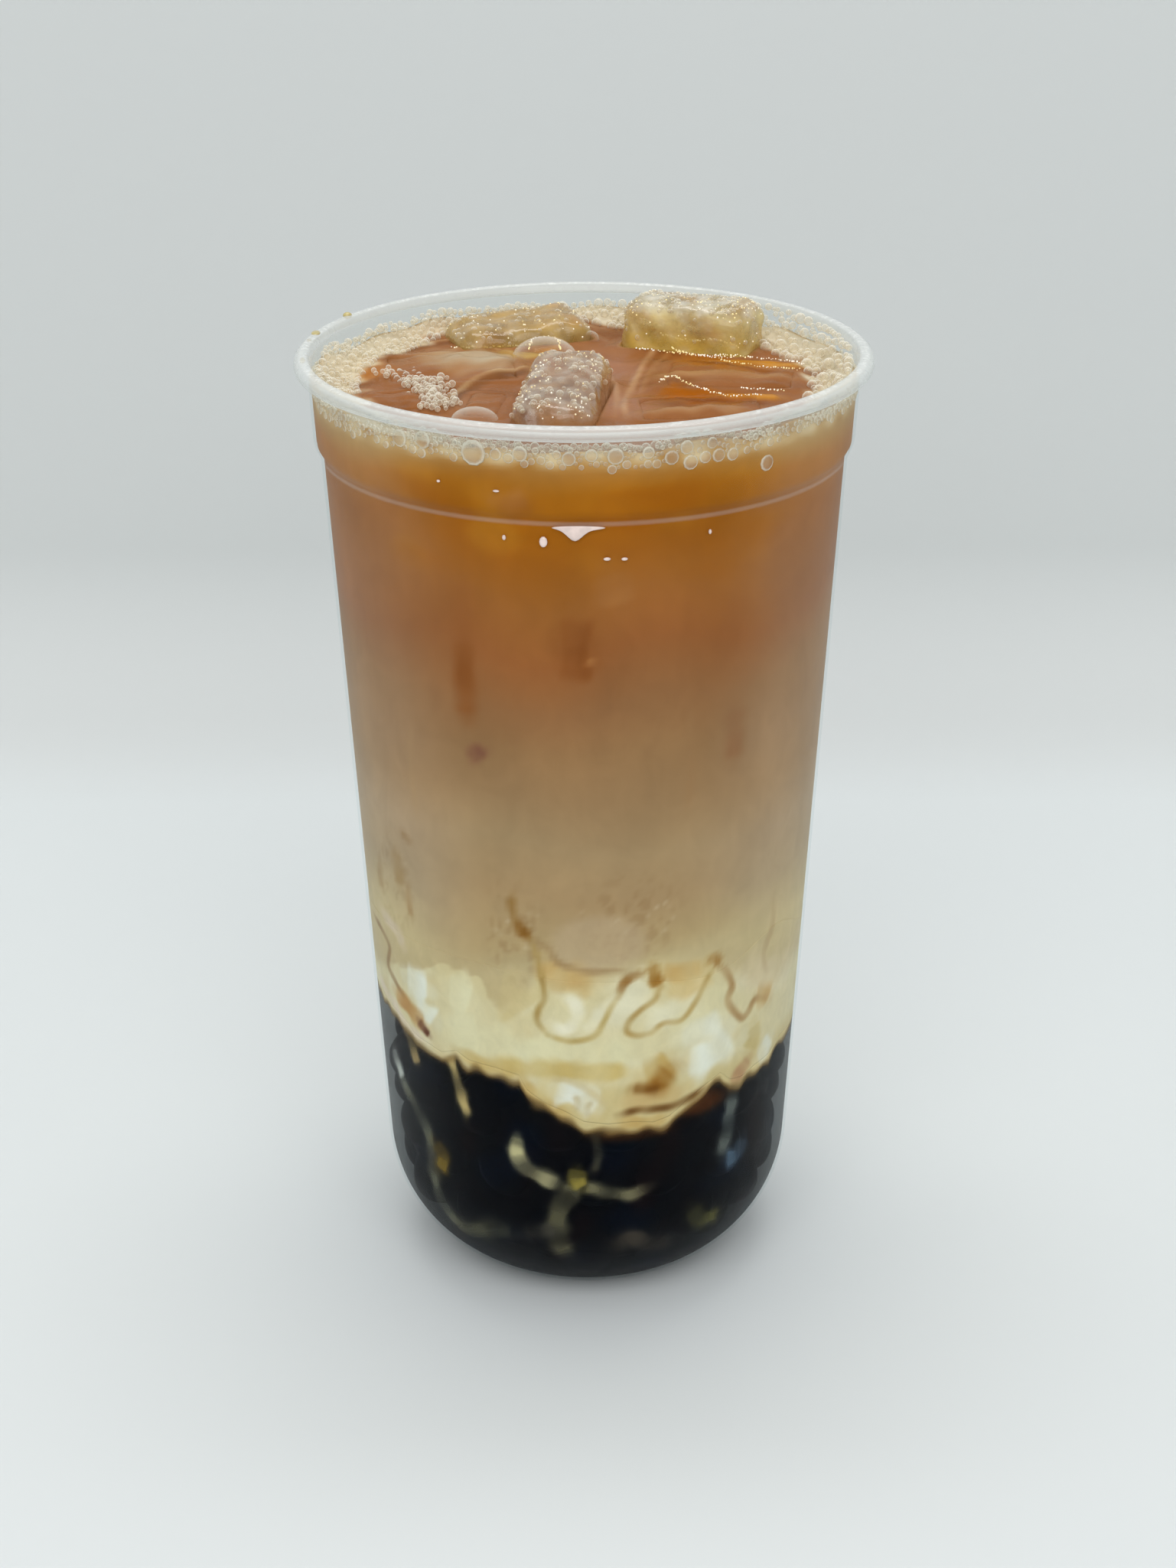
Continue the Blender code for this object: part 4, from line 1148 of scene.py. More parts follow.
class MILKTEA_OT_cup(bpy.types.Operator):
    """Turn the clear cup: one outline from under the foot, over the rolled rim, down to the floor inside"""

    bl_idname = "milk_tea.cup"
    bl_label = "Clear cup"

    def execute(self, context):
        cup = sizes().cup
        form = CupForm(cup)
        wall = cup.wall
        top = form.top_radius
        foot = form.corner_r + cup.corner_radius * math.cos(cup.foot_angle)
        inner = foot - cup.foot_width
        under = rounded(
            [
                (0, cup.recess, 0),
                (inner - cup.recess, cup.recess, cup.recess * 0.6),
                (inner, 0, 0.3 * MM),
                (foot, 0, 0),
            ]
        )
        corner = form.corner(0, cup.foot_angle, form.lean, 40)
        outside = rounded(
            [
                (*corner[-1], 0),
                (cup.shoulder_radius, cup.shoulder_height, 0.5 * MM),
                (form.band_radius, form.band_foot, 0.7 * MM),
                (top, RIM_TOP - 1.7 * MM, 0.6 * MM),
                (top + 0.3 * MM, RIM_TOP - 1.0 * MM, 0.2 * MM),
                (RIM_RADIUS - 1.1 * MM, RIM_TOP - 1.1 * MM, 0.3 * MM),
                (RIM_RADIUS - 0.95 * MM, form.skirt_foot + 0.1 * MM, 0.3 * MM),
                (RIM_RADIUS - 0.2 * MM, form.skirt_foot, 0.35 * MM),
                (RIM_RADIUS, form.skirt_foot + 0.7 * MM, 0.3 * MM),
                (RIM_RADIUS - 0.15 * MM, RIM_TOP - 0.7 * MM, 0.8 * MM),
                (RIM_RADIUS - 0.9 * MM, RIM_TOP - 0.15 * MM, 0.5 * MM),
                (top - 0.1 * wall, RIM_TOP, 0.9 * MM),
                (top - wall, RIM_TOP - 1.4 * MM, 0.7 * MM),
                (form.band_radius - wall, form.band_foot, 0.7 * MM),
                (cup.shoulder_radius - wall, cup.shoulder_height, 0.5 * MM),
                (*form.corner(wall, form.lean, form.lean, 1)[0], 0),
            ]
        )
        floor = cup.recess + wall
        inner_arc = math.asin((form.corner_z - floor) / (cup.corner_radius - wall))
        inside = form.corner(wall, form.lean, inner_arc, 30)
        outline = np.concatenate([under, corner[1:], outside[1:], inside[1:], [[0, floor]]])
        outline = even(outline, 3.0 * MM)
        columns = 256
        points, faces = turned(
            np.repeat(outline[:, :1], columns, 1),
            np.repeat(outline[:, 1:], columns, 1),
        )
        piece = add_piece("clear_cup", points, faces, "clear_plastic", ("cup",))
        piece.data.materials.append(clear_plastic(cup))
        return {"FINISHED"}


class MILKTEA_OT_pearls(bpy.types.Operator):
    """Heap the pearls in rows against the wall round a dark core, and pour the syrup round them"""

    bl_idname = "milk_tea.pearls"
    bl_label = "Pearls and syrup"

    def execute(self, context):
        drink, cup = sizes().drink, sizes().cup
        form = CupForm(cup)
        centres = np.array(self.places(form, drink, cup))
        points, faces = balls(centres, np.full(len(centres), drink.pearl_radius), 30, 20)
        away = (points - centres[:, None]) / drink.pearl_radius
        lumps = 0.022 * np.sin(3.1 * away[..., 0] + centres[:, None, 0] * 900)
        lumps += 0.022 * np.sin(2.7 * away[..., 2] + 4.0 * away[..., 1] + centres[:, None, 1] * 700)
        points = centres[:, None] + away * drink.pearl_radius * (1 + lumps)[..., None]
        count = points.shape[1]
        points = points.reshape(-1, 3)
        reach = form.radius(points[:, 2], cup.wall + 0.1 * MM)
        radius = np.hypot(points[:, 0], points[:, 1])
        points[:, :2] *= np.minimum(1, reach / np.maximum(radius, 1e-9))[:, None]
        points[:, 2] = np.maximum(points[:, 2], cup.recess + cup.wall + 0.1 * MM)
        draw = np.random.default_rng(17)
        cast = np.repeat(draw.uniform(0, 1, len(centres)), count)

        rise = np.linspace(4.5 * MM, drink.heap_level, 14)
        side = np.stack([form.radius(rise, cup.wall + 2.6 * MM), rise], -1)
        core = even(np.concatenate([[[0, 3.5 * MM]], side, [[0, drink.heap_level + 3 * MM]]]), 4 * MM)
        columns = 96
        core_radius, core_height = (np.repeat(core[:, k : k + 1], columns, 1) for k in (0, 1))
        core_points, core_faces = turned(core_radius, core_height)
        all_faces = [*faces, *[f + len(points) for f in core_faces]]
        all_points = np.concatenate([points, core_points])
        heap = add_piece("tapioca_pearls", all_points, all_faces, "pearl", ("pearls",))
        set_share(heap, "cast", np.concatenate([cast, np.full(len(core_points), 0.3)]))
        heap.data.materials.append(pearl_finish(drink))
        self.pour(form, drink)
        return {"FINISHED"}

    @staticmethod
    def crest(azimuth):
        """Height of the topmost pearls' crowns, lower just right of the front."""
        dip = math.exp(-(((math.degrees(azimuth) - 9) / 17) ** 2))
        swell = 1.3 * math.sin(3 * azimuth + 0.8) + 0.9 * math.sin(5 * azimuth + 2.1)
        return (44.6 + swell - 8.0 * dip) * MM

    def places(self, form, drink, cup):
        """Centres of the pearls: rows against the wall, an uneven top row, and some on the floor."""
        draw = random.Random(7)
        reach = cup.corner_radius - cup.wall - drink.pearl_radius - 0.1 * MM
        lowest = cup.recess + cup.wall + drink.pearl_radius
        angle = -math.asin((form.corner_z - lowest) / reach)
        arc_length = reach * (-form.lean - angle)
        rows = []
        along = 0.0
        while True:
            if along < arc_length:
                a = angle + along / reach
                row = (form.corner_r + reach * math.cos(a), form.corner_z + reach * math.sin(a))
            else:
                rise = along - arc_length
                row = (
                    form.corner_r + reach * math.cos(form.lean) + rise * math.sin(form.lean),
                    form.corner_z - reach * math.sin(form.lean) + rise * math.cos(form.lean),
                )
            if row[1] > drink.heap_level:
                break
            rows.append(row)
            along += drink.row_pitch
        places = []
        for level, (radius, height) in enumerate(rows):
            count = round(FULL_TURN * radius / drink.pearl_pitch)
            for k in range(count):
                turn = FULL_TURN * (k + 0.5 * (level % 2) + draw.uniform(-0.12, 0.12)) / count
                places.append((turn, radius, height + draw.uniform(0.0, 0.6) * MM))
        radius, height = rows[-1]
        count = round(FULL_TURN * radius / drink.pearl_pitch)
        for k in range(count):
            turn = FULL_TURN * (k + 0.5 * (len(rows) % 2)) / count
            centre_z = self.crest(math.atan2(math.sin(turn), math.cos(turn))) - drink.pearl_radius
            if centre_z > height + 0.55 * drink.row_pitch:
                places.append((turn, radius + cup.wall_taper * (centre_z - height), centre_z))
        places += [(FULL_TURN * k / 6, 10.4 * MM, rows[0][1]) for k in range(6)]
        places.append((0.0, 0.0, rows[0][1]))
        return [(r * math.sin(t), -r * math.cos(t), z) for t, r, z in places]

    @staticmethod
    def pour(form, drink):
        """The syrup round the heap: the cup's inside up to the milk, closed across the top."""
        columns = MILK_COLUMNS
        turn = np.degrees(np.arange(columns) * FULL_TURN / columns)
        azimuth = folded(np.where(turn > 180, turn - 360, turn))
        top = (np.interp(azimuth, *np.array(PEARL_TOP).T) + MILK_LAP) * MM
        foot = even(form.bottom(drink.inset), 0.9 * MM)
        share = np.linspace(0, 1, 60)[1:, None]
        side_z = foot[-1, 1] * (1 - share) + top * share
        side_r = form.radius(side_z, drink.inset)
        cover = np.linspace(1, 0, 7)[1:, None]
        radius = np.concatenate([np.repeat(foot[:, :1], columns, 1), side_r, side_r[-1] * cover])
        height = np.concatenate(
            [np.repeat(foot[:, 1:], columns, 1), side_z, side_z[-1] * cover + 41 * MM * (1 - cover)]
        )
        points, faces = turned(radius, height)
        syrup = add_piece("syrup_and_strands", points, faces, "milk")
        wall = Wall(points, form)
        shade, covering = paint_syrup(wall, display(drink.syrup), display(drink.cream))
        set_paint(syrup, shade)
        set_share(syrup, "cover", covering)
        syrup.data.materials.append(syrup_finish())


MILK_COLUMNS = 560
MILK_LAP = 1.2
TEA_COLUMNS = 336
LAP = 0.6 * MM
LAP_DEPTH = 0.02 * MM


class MILKTEA_OT_milk(bpy.types.Operator):
    """Lay the marbled milk on the pearls, up to the uneven foot of the tea"""

    bl_idname = "milk_tea.milk"
    bl_label = "Marbled milk"

    def execute(self, context):
        drink, cup = sizes().drink, sizes().cup
        form = CupForm(cup)

        def lower(x, y):
            azimuth = folded(np.degrees(np.arctan2(x, -y)))
            edge = np.interp(azimuth, *np.array(PEARL_TOP).T) + MILK_LAP
            share = np.clip(np.hypot(x, y) / (30 * MM), 0, 1) ** 2
            return (edge * share + 45 * (1 - share)) * MM

        def upper(x, y):
            return milk_surface(x, y, drink.milk_level)

        rows = np.linspace(0, 1, 84)[1:-1]
        rings = np.linspace(1, 0, 12)
        radius, height = layer_grid(
            form, drink.inset, MILK_COLUMNS, (lower, 42 * MM), (upper, drink.milk_level), rows, rings
        )
        points, faces = turned(radius, height)
        milk = add_piece("marbled_milk", points, faces, "milk", ("milk",))
        set_paint(milk, paint_milk(Wall(points, form), display(drink.cream)))
        finish, shader = drink_finish("milk", 300, 1.12)
        milk.data.materials.append(finish.output(shader))
        return {"FINISHED"}


class MILKTEA_OT_tea(bpy.types.Operator):
    """Fill the cup with tea up to the foam, drawn up at the ice and sunk under it"""

    bl_idname = "milk_tea.tea"
    bl_label = "Tea"

    def execute(self, context):
        drink, cup = sizes().drink, sizes().cup
        form = CupForm(cup)
        edge = float(form.radius(drink.tea_level, drink.inset))

        def lower(x, y):
            return milk_surface(x, y, drink.milk_level) - LAP

        def upper(x, y):
            return tea_surface(x, y, drink, edge)

        rows = np.linspace(0, 1, 130)[1:-1]
        rings = np.linspace(1, 0, 92)
        faces_at = (lower, drink.milk_level), (upper, drink.tea_level)
        radius, height = layer_grid(form, drink.inset + LAP_DEPTH, TEA_COLUMNS, *faces_at, rows, rings)
        points, faces = turned(radius, height)
        tea = add_piece("milk_tea", points, faces, "tea", ("tea",))
        wall = Wall(points, form)
        shade = paint_milk(wall, display(drink.cream))
        top = soft_step(
            form.radius(points[:, 2], drink.inset) - np.hypot(points[:, 0], points[:, 1]), 0.05 * MM, 0.9 * MM
        ) * (points[:, 2] > 0.13)
        shade = over(shade, self.top_paint(points), top)
        foam = soft_step(points[:, 2], drink.tea_level - 1.7 * MM, drink.tea_level + 0.5 * MM)
        creamy = foam * (1 - top) * (0.7 + 0.35 * ripples(wall.along, wall.height, 5, 71))
        shade = over(shade, (206, 184, 146), np.clip(creamy, 0, 1))
        set_paint(tea, shade)
        set_share(tea, "wet", top)
        tea.data.materials.append(tea_finish("tea"))
        return {"FINISHED"}

    @staticmethod
    def top_paint(points):
        """Colours seen from above: brown between the ice, a colour of its own under each high cube, and
        foam along the wall."""
        x, y = points[:, 0], points[:, 1]
        azimuth = azimuth_of(points)
        shade = np.broadcast_to(np.array((148, 94, 56), float), (len(points), 3))
        shade = over(shade, (126, 72, 30), 0.6 * soft_step(ripples(x, y, 0.016, 81), 0.1, 1.3))
        shade = over(shade, (160, 114, 84), 0.5 * soft_step(ripples(x, y, 0.013, 82), 0.4, 1.4))
        for tone, share, _ in top_strokes(x, y):
            shade = over(shade, tone, share)
        shade = shade * (0.91, 0.91, 0.86)
        apart, which = ice_apart(x, y)
        under = np.array([ICE_LOOKS.get(entry[0], ((0, 0, 0),))[0] for entry in ICE], float)[which]
        high = np.array([entry[0] in HIGH_ICE for entry in ICE], float)[which]
        shade = over(shade, under, high * soft_step(-apart, -0.0005, 0.0015))
        edge = np.hypot(x, y)
        left = soft_step(-azimuth, 10, 45) * soft_step(np.abs(azimuth), 178, 120)
        right = soft_step(np.abs(azimuth - 110), 65, 25)
        back = soft_step(np.abs(azimuth), 150, 175)
        width = 0.0042 + 0.0038 * left + 0.0038 * right + 0.003 * back
        ragged = 0.0012 * ripples(x, y, 0.006, 83)
        foam = soft_step(edge + ragged, 0.0418 - width, 0.0418 - width * 0.55)
        shade = over(shade, (204, 196, 172), foam * (0.45 + 0.45 * np.maximum(np.maximum(left, right), back)))
        return shade


class MILKTEA_OT_ice(bpy.types.Operator):
    """Set the eight cubes of melting ice that stand out of the tea"""

    bl_idname = "milk_tea.ice"
    bl_label = "Ice"

    def execute(self, context):
        ice = sizes().ice
        lattice, squares = cube_lattice(ice.grid)
        yellow = ice_finish("yellow_ice", ice, (0.95, 0.89, 0.64, 1.0))
        frosty = ice_finish("frosty_ice", ice, (0.94, 0.88, 0.78, 1.0))
        wet = tea_finish("wet_ice")
        finishes = dict(zip(HIGH_ICE, (yellow, yellow, frosty)))
        frozen = []
        for k, (name, (cx, cy), top, size, turn, tilt) in enumerate(ICE):
            high = name in HIGH_ICE
            half = np.array(size) * MM / 2
            box = lattice * half
            rounding = ice.rounding * (1.7 if high else 1.0)
            core = np.clip(box, -(half - rounding), half - rounding)
            away = box - core
            away /= np.maximum(np.linalg.norm(away, axis=1, keepdims=True), 1e-9)
            points = core + away * rounding
            u, v, w = (points / MM).T
            dents = ripples(u + 2 * w, v + w, 9, 90 + k) + 0.5 * ripples(u - w, v - w, 4, 190 + k)
            points = points - away * (ice.lumps * (0.5 + 0.5 * dents))[:, None]
            rotation = (
                Matrix.Rotation(math.radians(turn), 3, "Z")
                @ Matrix.Rotation(math.radians(tilt[1]), 3, "Y")
                @ Matrix.Rotation(math.radians(tilt[0]), 3, "X")
            )
            rotation = np.array(rotation).T
            placed = points @ rotation + np.array((cx, cy, top - size[2] / 2)) * MM
            upward = soft_step((away @ rotation)[:, 2], 0.3, 0.9)
            if not high:
                dome = (1 - np.abs(lattice[:, 0]) ** 3) * (1 - np.abs(lattice[:, 1]) ** 3)
                placed[:, 2] += upward * (ice.dome * dome + relief(placed[:, 0], placed[:, 1]))
            cube = add_piece("melting_" + name, placed, [squares], "ice", (name,))
            cube.data.materials.append(finishes.get(name, wet))
            if not high:
                set_paint(cube, MILKTEA_OT_tea.top_paint(placed))
                set_share(cube, "wet", np.ones(len(placed)))
                continue
            side_tone, top_tone, foot_tone, coated, frosted = ICE_LOOKS[name][1:]
            shade = over(np.broadcast_to(np.array(side_tone, float), placed.shape), top_tone, upward)
            shade = over(shade, foot_tone, 0.8 * soft_step(placed[:, 2], 0.1546, 0.1512))
            amber = soft_step(ripples(u, v + w, 11, 290 + k), 0.4, 1.6) + soft_step(u, 4, 11) * upward
            set_paint(cube, over(shade, (172, 118, 56), 0.45 * np.clip(amber, 0, 1)))
            waver = 0.12 * ripples(u + w, v, 5, 390 + k)
            set_share(cube, "coated", np.clip(coated + waver, 0, 1))
            patch = soft_step(ripples(u + 0.5 * w, v - w, 4.5, 490 + k), -1.0, 0.7)
            set_share(cube, "frosted", np.clip(frosted * patch * (0.25 + 0.75 * upward), 0, 1))
            outward = away @ rotation
            lit = np.flatnonzero(placed[:, 2] > 0.1512)
            frozen.append(self.air(placed[lit], outward[lit], upward[lit], frosted, k))
        centres, radii = (np.concatenate(part) for part in zip(*frozen))
        # the smallest frozen bubbles become glints: beads that glow a little, painted highlights
        glint = radii < 0.3 * MM
        shine = add_piece("ice_glints", *joined(balls(centres[glint], radii[glint] * 0.6, 8, 5)), "ice")
        shine.data.materials.append(sparkle_finish("glints"))
        points, faces = joined(balls(centres[~glint], radii[~glint], 10, 6))
        air = add_piece("frozen_air", points, faces, "ice")
        air.data.materials.append(bubble_finish("frozen_film", sizes().drink, 1.2, 0.25))
        return {"FINISHED"}

    @staticmethod
    def air(spots, outward, upward, frosted, seed):
        """Centres and radii of small bubbles sunk into a cube's skin, most of them on its top."""
        draw = np.random.default_rng(600 + seed)
        share = 0.12 + upward * frosted
        picked = draw.choice(len(spots), int(80 + 420 * frosted), p=share / share.sum())
        radius = (0.18 + 0.5 * draw.beta(1.2, 3.0, len(picked))) * MM
        jitter = draw.normal(0, 0.25 * MM, (len(picked), 3))
        jitter -= (jitter * outward[picked]).sum(1, keepdims=True) * outward[picked]
        return spots[picked] + jitter - outward[picked] * radius[:, None] * 0.35, radius


class MILKTEA_OT_foam(bpy.types.Operator):
    """Float the foam: bubbles on the tea along the wall, and a band of them pressed flat against it"""

    bl_idname = "milk_tea.foam"
    bl_label = "Foam"

    # Middle of the tongue of foam, in plan, in mm
    TONGUE = ((-30.5, 5.5), (-27, 1), (-24.9, -2.8), (-23.4, -8), (-22.6, -13), (-22.4, -16))
    # Larger bubbles pressed on the wall: azimuth, height and radius in mm
    RINGS = (
        (-39.5, 150.7, 1.4),
        (-33.6, 151.2, 1.4),
        (-22.2, 150.4, 2.0),
        (-17.5, 150.5, 0.95),
        (-12.6, 150.8, 1.2),
        (-8.4, 150.0, 0.7),
        (-3.0, 150.3, 1.1),
        (1.4, 150.8, 1.0),
        (6.1, 150.6, 1.3),
        (12.6, 150.9, 0.95),
        (17.3, 149.9, 1.15),
        (20.4, 151.2, 1.1),
        (21.3, 148.9, 1.2),
        (24.4, 149.4, 1.0),
        (27.4, 149.4, 1.1),
        (30.6, 149.2, 1.05),
        (25.8, 151.4, 0.9),
        (39.4, 146.7, 1.3),
    )

    def execute(self, context):
        drink, cup = sizes().drink, sizes().cup
        form = CupForm(cup)
        draw = np.random.default_rng(21)
        edge = float(form.radius(drink.tea_level + drink.foam_rise, cup.wall))
        self.floating(form, drink, draw, edge)
        self.pressed(form, drink, cup, draw)
        self.dome(drink)
        return {"FINISHED"}

    @staticmethod
    def floating(form, drink, draw, edge):
        """Bubbles of 0.3 to 1.5 mm radius in a collar that climbs the wall, and a tongue of small ones
        over the ice at the front left."""
        count, tongue = 5200, 420
        azimuth = draw.uniform(-180, 180, count)
        left = soft_step(-azimuth, 5, 40) * soft_step(-azimuth, 178, 130)
        right = soft_step(azimuth, 40, 80) * soft_step(azimuth, 178, 150)
        back = soft_step(np.abs(azimuth), 150, 172)
        width = (2.4 + 3.8 * left + 3.4 * right + 3.0 * back) * MM
        radius = (0.34 + 0.8 * draw.beta(1.2, 3.2, count) * (1 - 0.3 * left + 0.4 * right)) * MM
        inward = draw.uniform(0, 1, count) ** 1.4
        out = edge - radius - width * inward
        climb = (2.6 * right + 1.0 * left + 0.6) * MM * np.clip(1 - 2.2 * inward, 0, 1)
        spots = np.stack([out * np.sin(np.radians(azimuth)), -out * np.cos(np.radians(azimuth))], -1)
        path = curve_through(MILKTEA_OT_foam.TONGUE, 12)
        trail = (path[draw.integers(0, len(path), tongue)] + draw.normal(0, 1.4, (tongue, 2))) * MM
        spots = np.concatenate([trail, spots])
        radius = np.concatenate([draw.uniform(0.32, 0.7, tongue) * MM, radius])
        climb = np.concatenate([np.full(tongue, 0.5 * MM), climb])
        apart, _ = ice_apart(*spots.T)
        apart[:tongue] = 1.0
        kept = []
        for k in range(len(spots)):
            if apart[k] < radius[k] * 0.2 and draw.uniform() > 0.06:
                continue
            if kept:
                gap = np.hypot(*(spots[kept] - spots[k]).T)
                if np.any(gap < 0.78 * (radius[kept] + radius[k])):
                    continue
            kept.append(k)
            if len(kept) > 1700:
                break
        (x, y), radius = spots[kept].T, radius[kept]
        z = np.maximum(tea_surface(x, y, drink, edge), drink.tea_level) + radius * 0.25 + climb[kept]
        piece = add_piece("foam_bubbles", *joined(balls(np.stack([x, y, z], -1), radius, 10, 6)), "tea")
        piece.data.materials.append(bubble_finish("foam_film", drink, 1.6, 0.28))

    @staticmethod
    def pressed(form, drink, cup, draw):
        """Bubbles seen through the wall: lenses on the tea's side, in a ragged band under the foam."""
        count = 3600
        azimuth = draw.uniform(-180, 180, count)
        radius = 0.25 + 0.75 * draw.beta(1.2, 2.8, count)
        depth = 1.5 + 1.2 * np.exp(-(((azimuth + 4) / 50) ** 2)) + 0.5 * np.sin(np.radians(azimuth * 5))
        height = drink.tea_level / MM + 2.6 - radius - depth * draw.uniform(0, 1, count) ** 1.2
        large = np.array(MILKTEA_OT_foam.RINGS)
        azimuth, height, radius = np.concatenate([large, np.stack([azimuth, height, radius], -1)]).T
        along = np.radians(azimuth) * 42.5
        kept = []
        for k in range(len(azimuth)):
            if kept:
                gap = np.hypot(along[kept] - along[k], height[kept] - height[k])
                if np.any(gap < 0.84 * (radius[kept] + radius[k])):
                    continue
            kept.append(k)
        azimuth, height, radius = azimuth[kept], height[kept] * MM, radius[kept] * MM
        lenses = wall_lenses(form, azimuth, height, radius, radius, drink.inset, 0.3 * MM)
        piece = add_piece("wall_bubbles", *joined(lenses), "tea")
        lens = balls(np.zeros((1, 3)), [1.0], 10, 6)[0][0]
        set_share(piece, "rim", np.tile(np.hypot(lens[:, 0], lens[:, 1]), len(azimuth)))
        piece.data.materials.append(bubble_finish("pressed_film", drink, 0.42, 0.3, flat=True))

    @staticmethod
    def dome(drink):
        """A large bubble between the ice at the back, a small one beside it and one at the front left."""
        centres = np.array(((-6.3, 15.8, 149.0), (0.9, 25.4, 150.2), (-16.4, -21.0, 149.7))) * MM
        flat = ((1, 1, 0.74), (1, 1, 0.9), (1, 1, 0.6))
        points, faces = balls(centres, np.array((5.5, 1.6, 3.7)) * MM, 48, 28, flat)
        piece = add_piece("large_bubble", *joined((points, faces)), "tea")
        piece.data.materials.append(bubble_finish("large_film", drink, 0.8, 0.05))


def joined(parts):
    """Points of many balls as one list, with their faces."""
    points, faces = parts
    return points.reshape(-1, 3), faces


def wall_lenses(form, azimuth, height, half_width, half_height, inset, thickness):
    """Balls flattened against the wall: half_width along it, half_height up it, thickness out of it."""
    unit_points, faces = balls(np.zeros((len(azimuth), 3)), np.ones(len(azimuth)), 10, 6)
    turn = np.radians(azimuth)
    radius = form.radius(height, inset)
    out = np.stack([np.sin(turn), -np.cos(turn), np.zeros_like(turn)], -1)
    side = np.stack([np.cos(turn), np.sin(turn), np.zeros_like(turn)], -1)
    up = np.broadcast_to([0.0, 0.0, 1.0], out.shape)
    centre = out * radius[:, None] + up * height[:, None]
    across, over_it, lift = unit_points[..., 0], unit_points[..., 1], unit_points[..., 2]
    points = (
        centre[:, None]
        + side[:, None] * (across * np.asarray(half_width)[:, None])[..., None]
        + up[:, None] * (over_it * np.asarray(half_height)[:, None])[..., None]
        + out[:, None] * (lift * thickness)[..., None]
    )
    return points, faces


class MILKTEA_OT_beads(bpy.types.Operator):
    """String wet beads of light along the melting edges of the ice"""

    bl_idname = "milk_tea.beads"
    bl_label = "Wet beads"

    # Lines of beads, painted highlights along the ice's edges: points (x, y, z) in mm
    LINES = (
        ((-21.5, 20.2, 150.3), (-15, 20.6, 150.3), (-8, 22.2, 150.3)),
        ((8.5, 19.0, 150.4), (13, 16.8, 150.4), (18, 14.8, 150.4), (24, 12.6, 150.4)),
        ((12.5, 19.8, 152.6), (17, 17.8, 151.9), (21, 16.6, 152.4), (25, 14.8, 151.6)),
        ((14.0, 17.4, 151.0), (16.4, 12.6, 151.1), (18.9, 11.3, 151.2), (23.3, 7.5, 151.2),
         (27.6, 4.6, 151.2), (34, 3.4, 151)),
        ((21.0, 12.4, 151.1), (26, 10.4, 151.2), (31, 8.6, 151.1), (35, 7.4, 150.9)),
        ((11.5, -4.2, 151.1), (13.5, -0.8, 151.2), (15.8, -5.4, 151.3), (18.2, -8.9, 151.3),
         (21.8, -12.0, 151.2), (27, -11.3, 151.1)),
        ((24, -8.0, 151.2), (27.6, -8.6, 151.2), (31, -8.8, 151)),
        ((-8.7, 12.8, 152.0), (-8.3, 18.4, 152.0), (-6.3, 20.6, 152.0), (-4.3, 18.8, 152.0),
         (-3.8, 12.4, 152.0)),
    )

    def execute(self, context):
        draw = np.random.default_rng(33)
        centres, radii = [], []
        for line in self.LINES:
            spots = np.array(line)
            parts = [curve_through(spots[:, (0, 1)], 40), curve_through(spots[:, (0, 2)], 40)[:, 1:]]
            path = np.concatenate(parts, 1)
            run = np.concatenate([[0], np.cumsum(np.linalg.norm(np.diff(path, axis=0), axis=1))])
            at = np.arange(0, run[-1], 0.42) + draw.uniform(-0.06, 0.06, len(np.arange(0, run[-1], 0.42)))
            beads = np.stack([np.interp(at, run, path[:, k]) for k in range(3)], -1)
            beads += draw.normal(0, 0.09, beads.shape)
            centres.append(beads)
            radii.append(draw.uniform(0.07, 0.17, len(beads)))
        points, faces = balls(np.concatenate(centres) * MM, np.concatenate(radii) * MM, 8, 5)
        piece = add_piece("wet_bead_highlights", points.reshape(-1, 3), faces, "ice")
        piece.data.materials.append(sparkle_finish("wet_bead_highlights"))
        return {"FINISHED"}


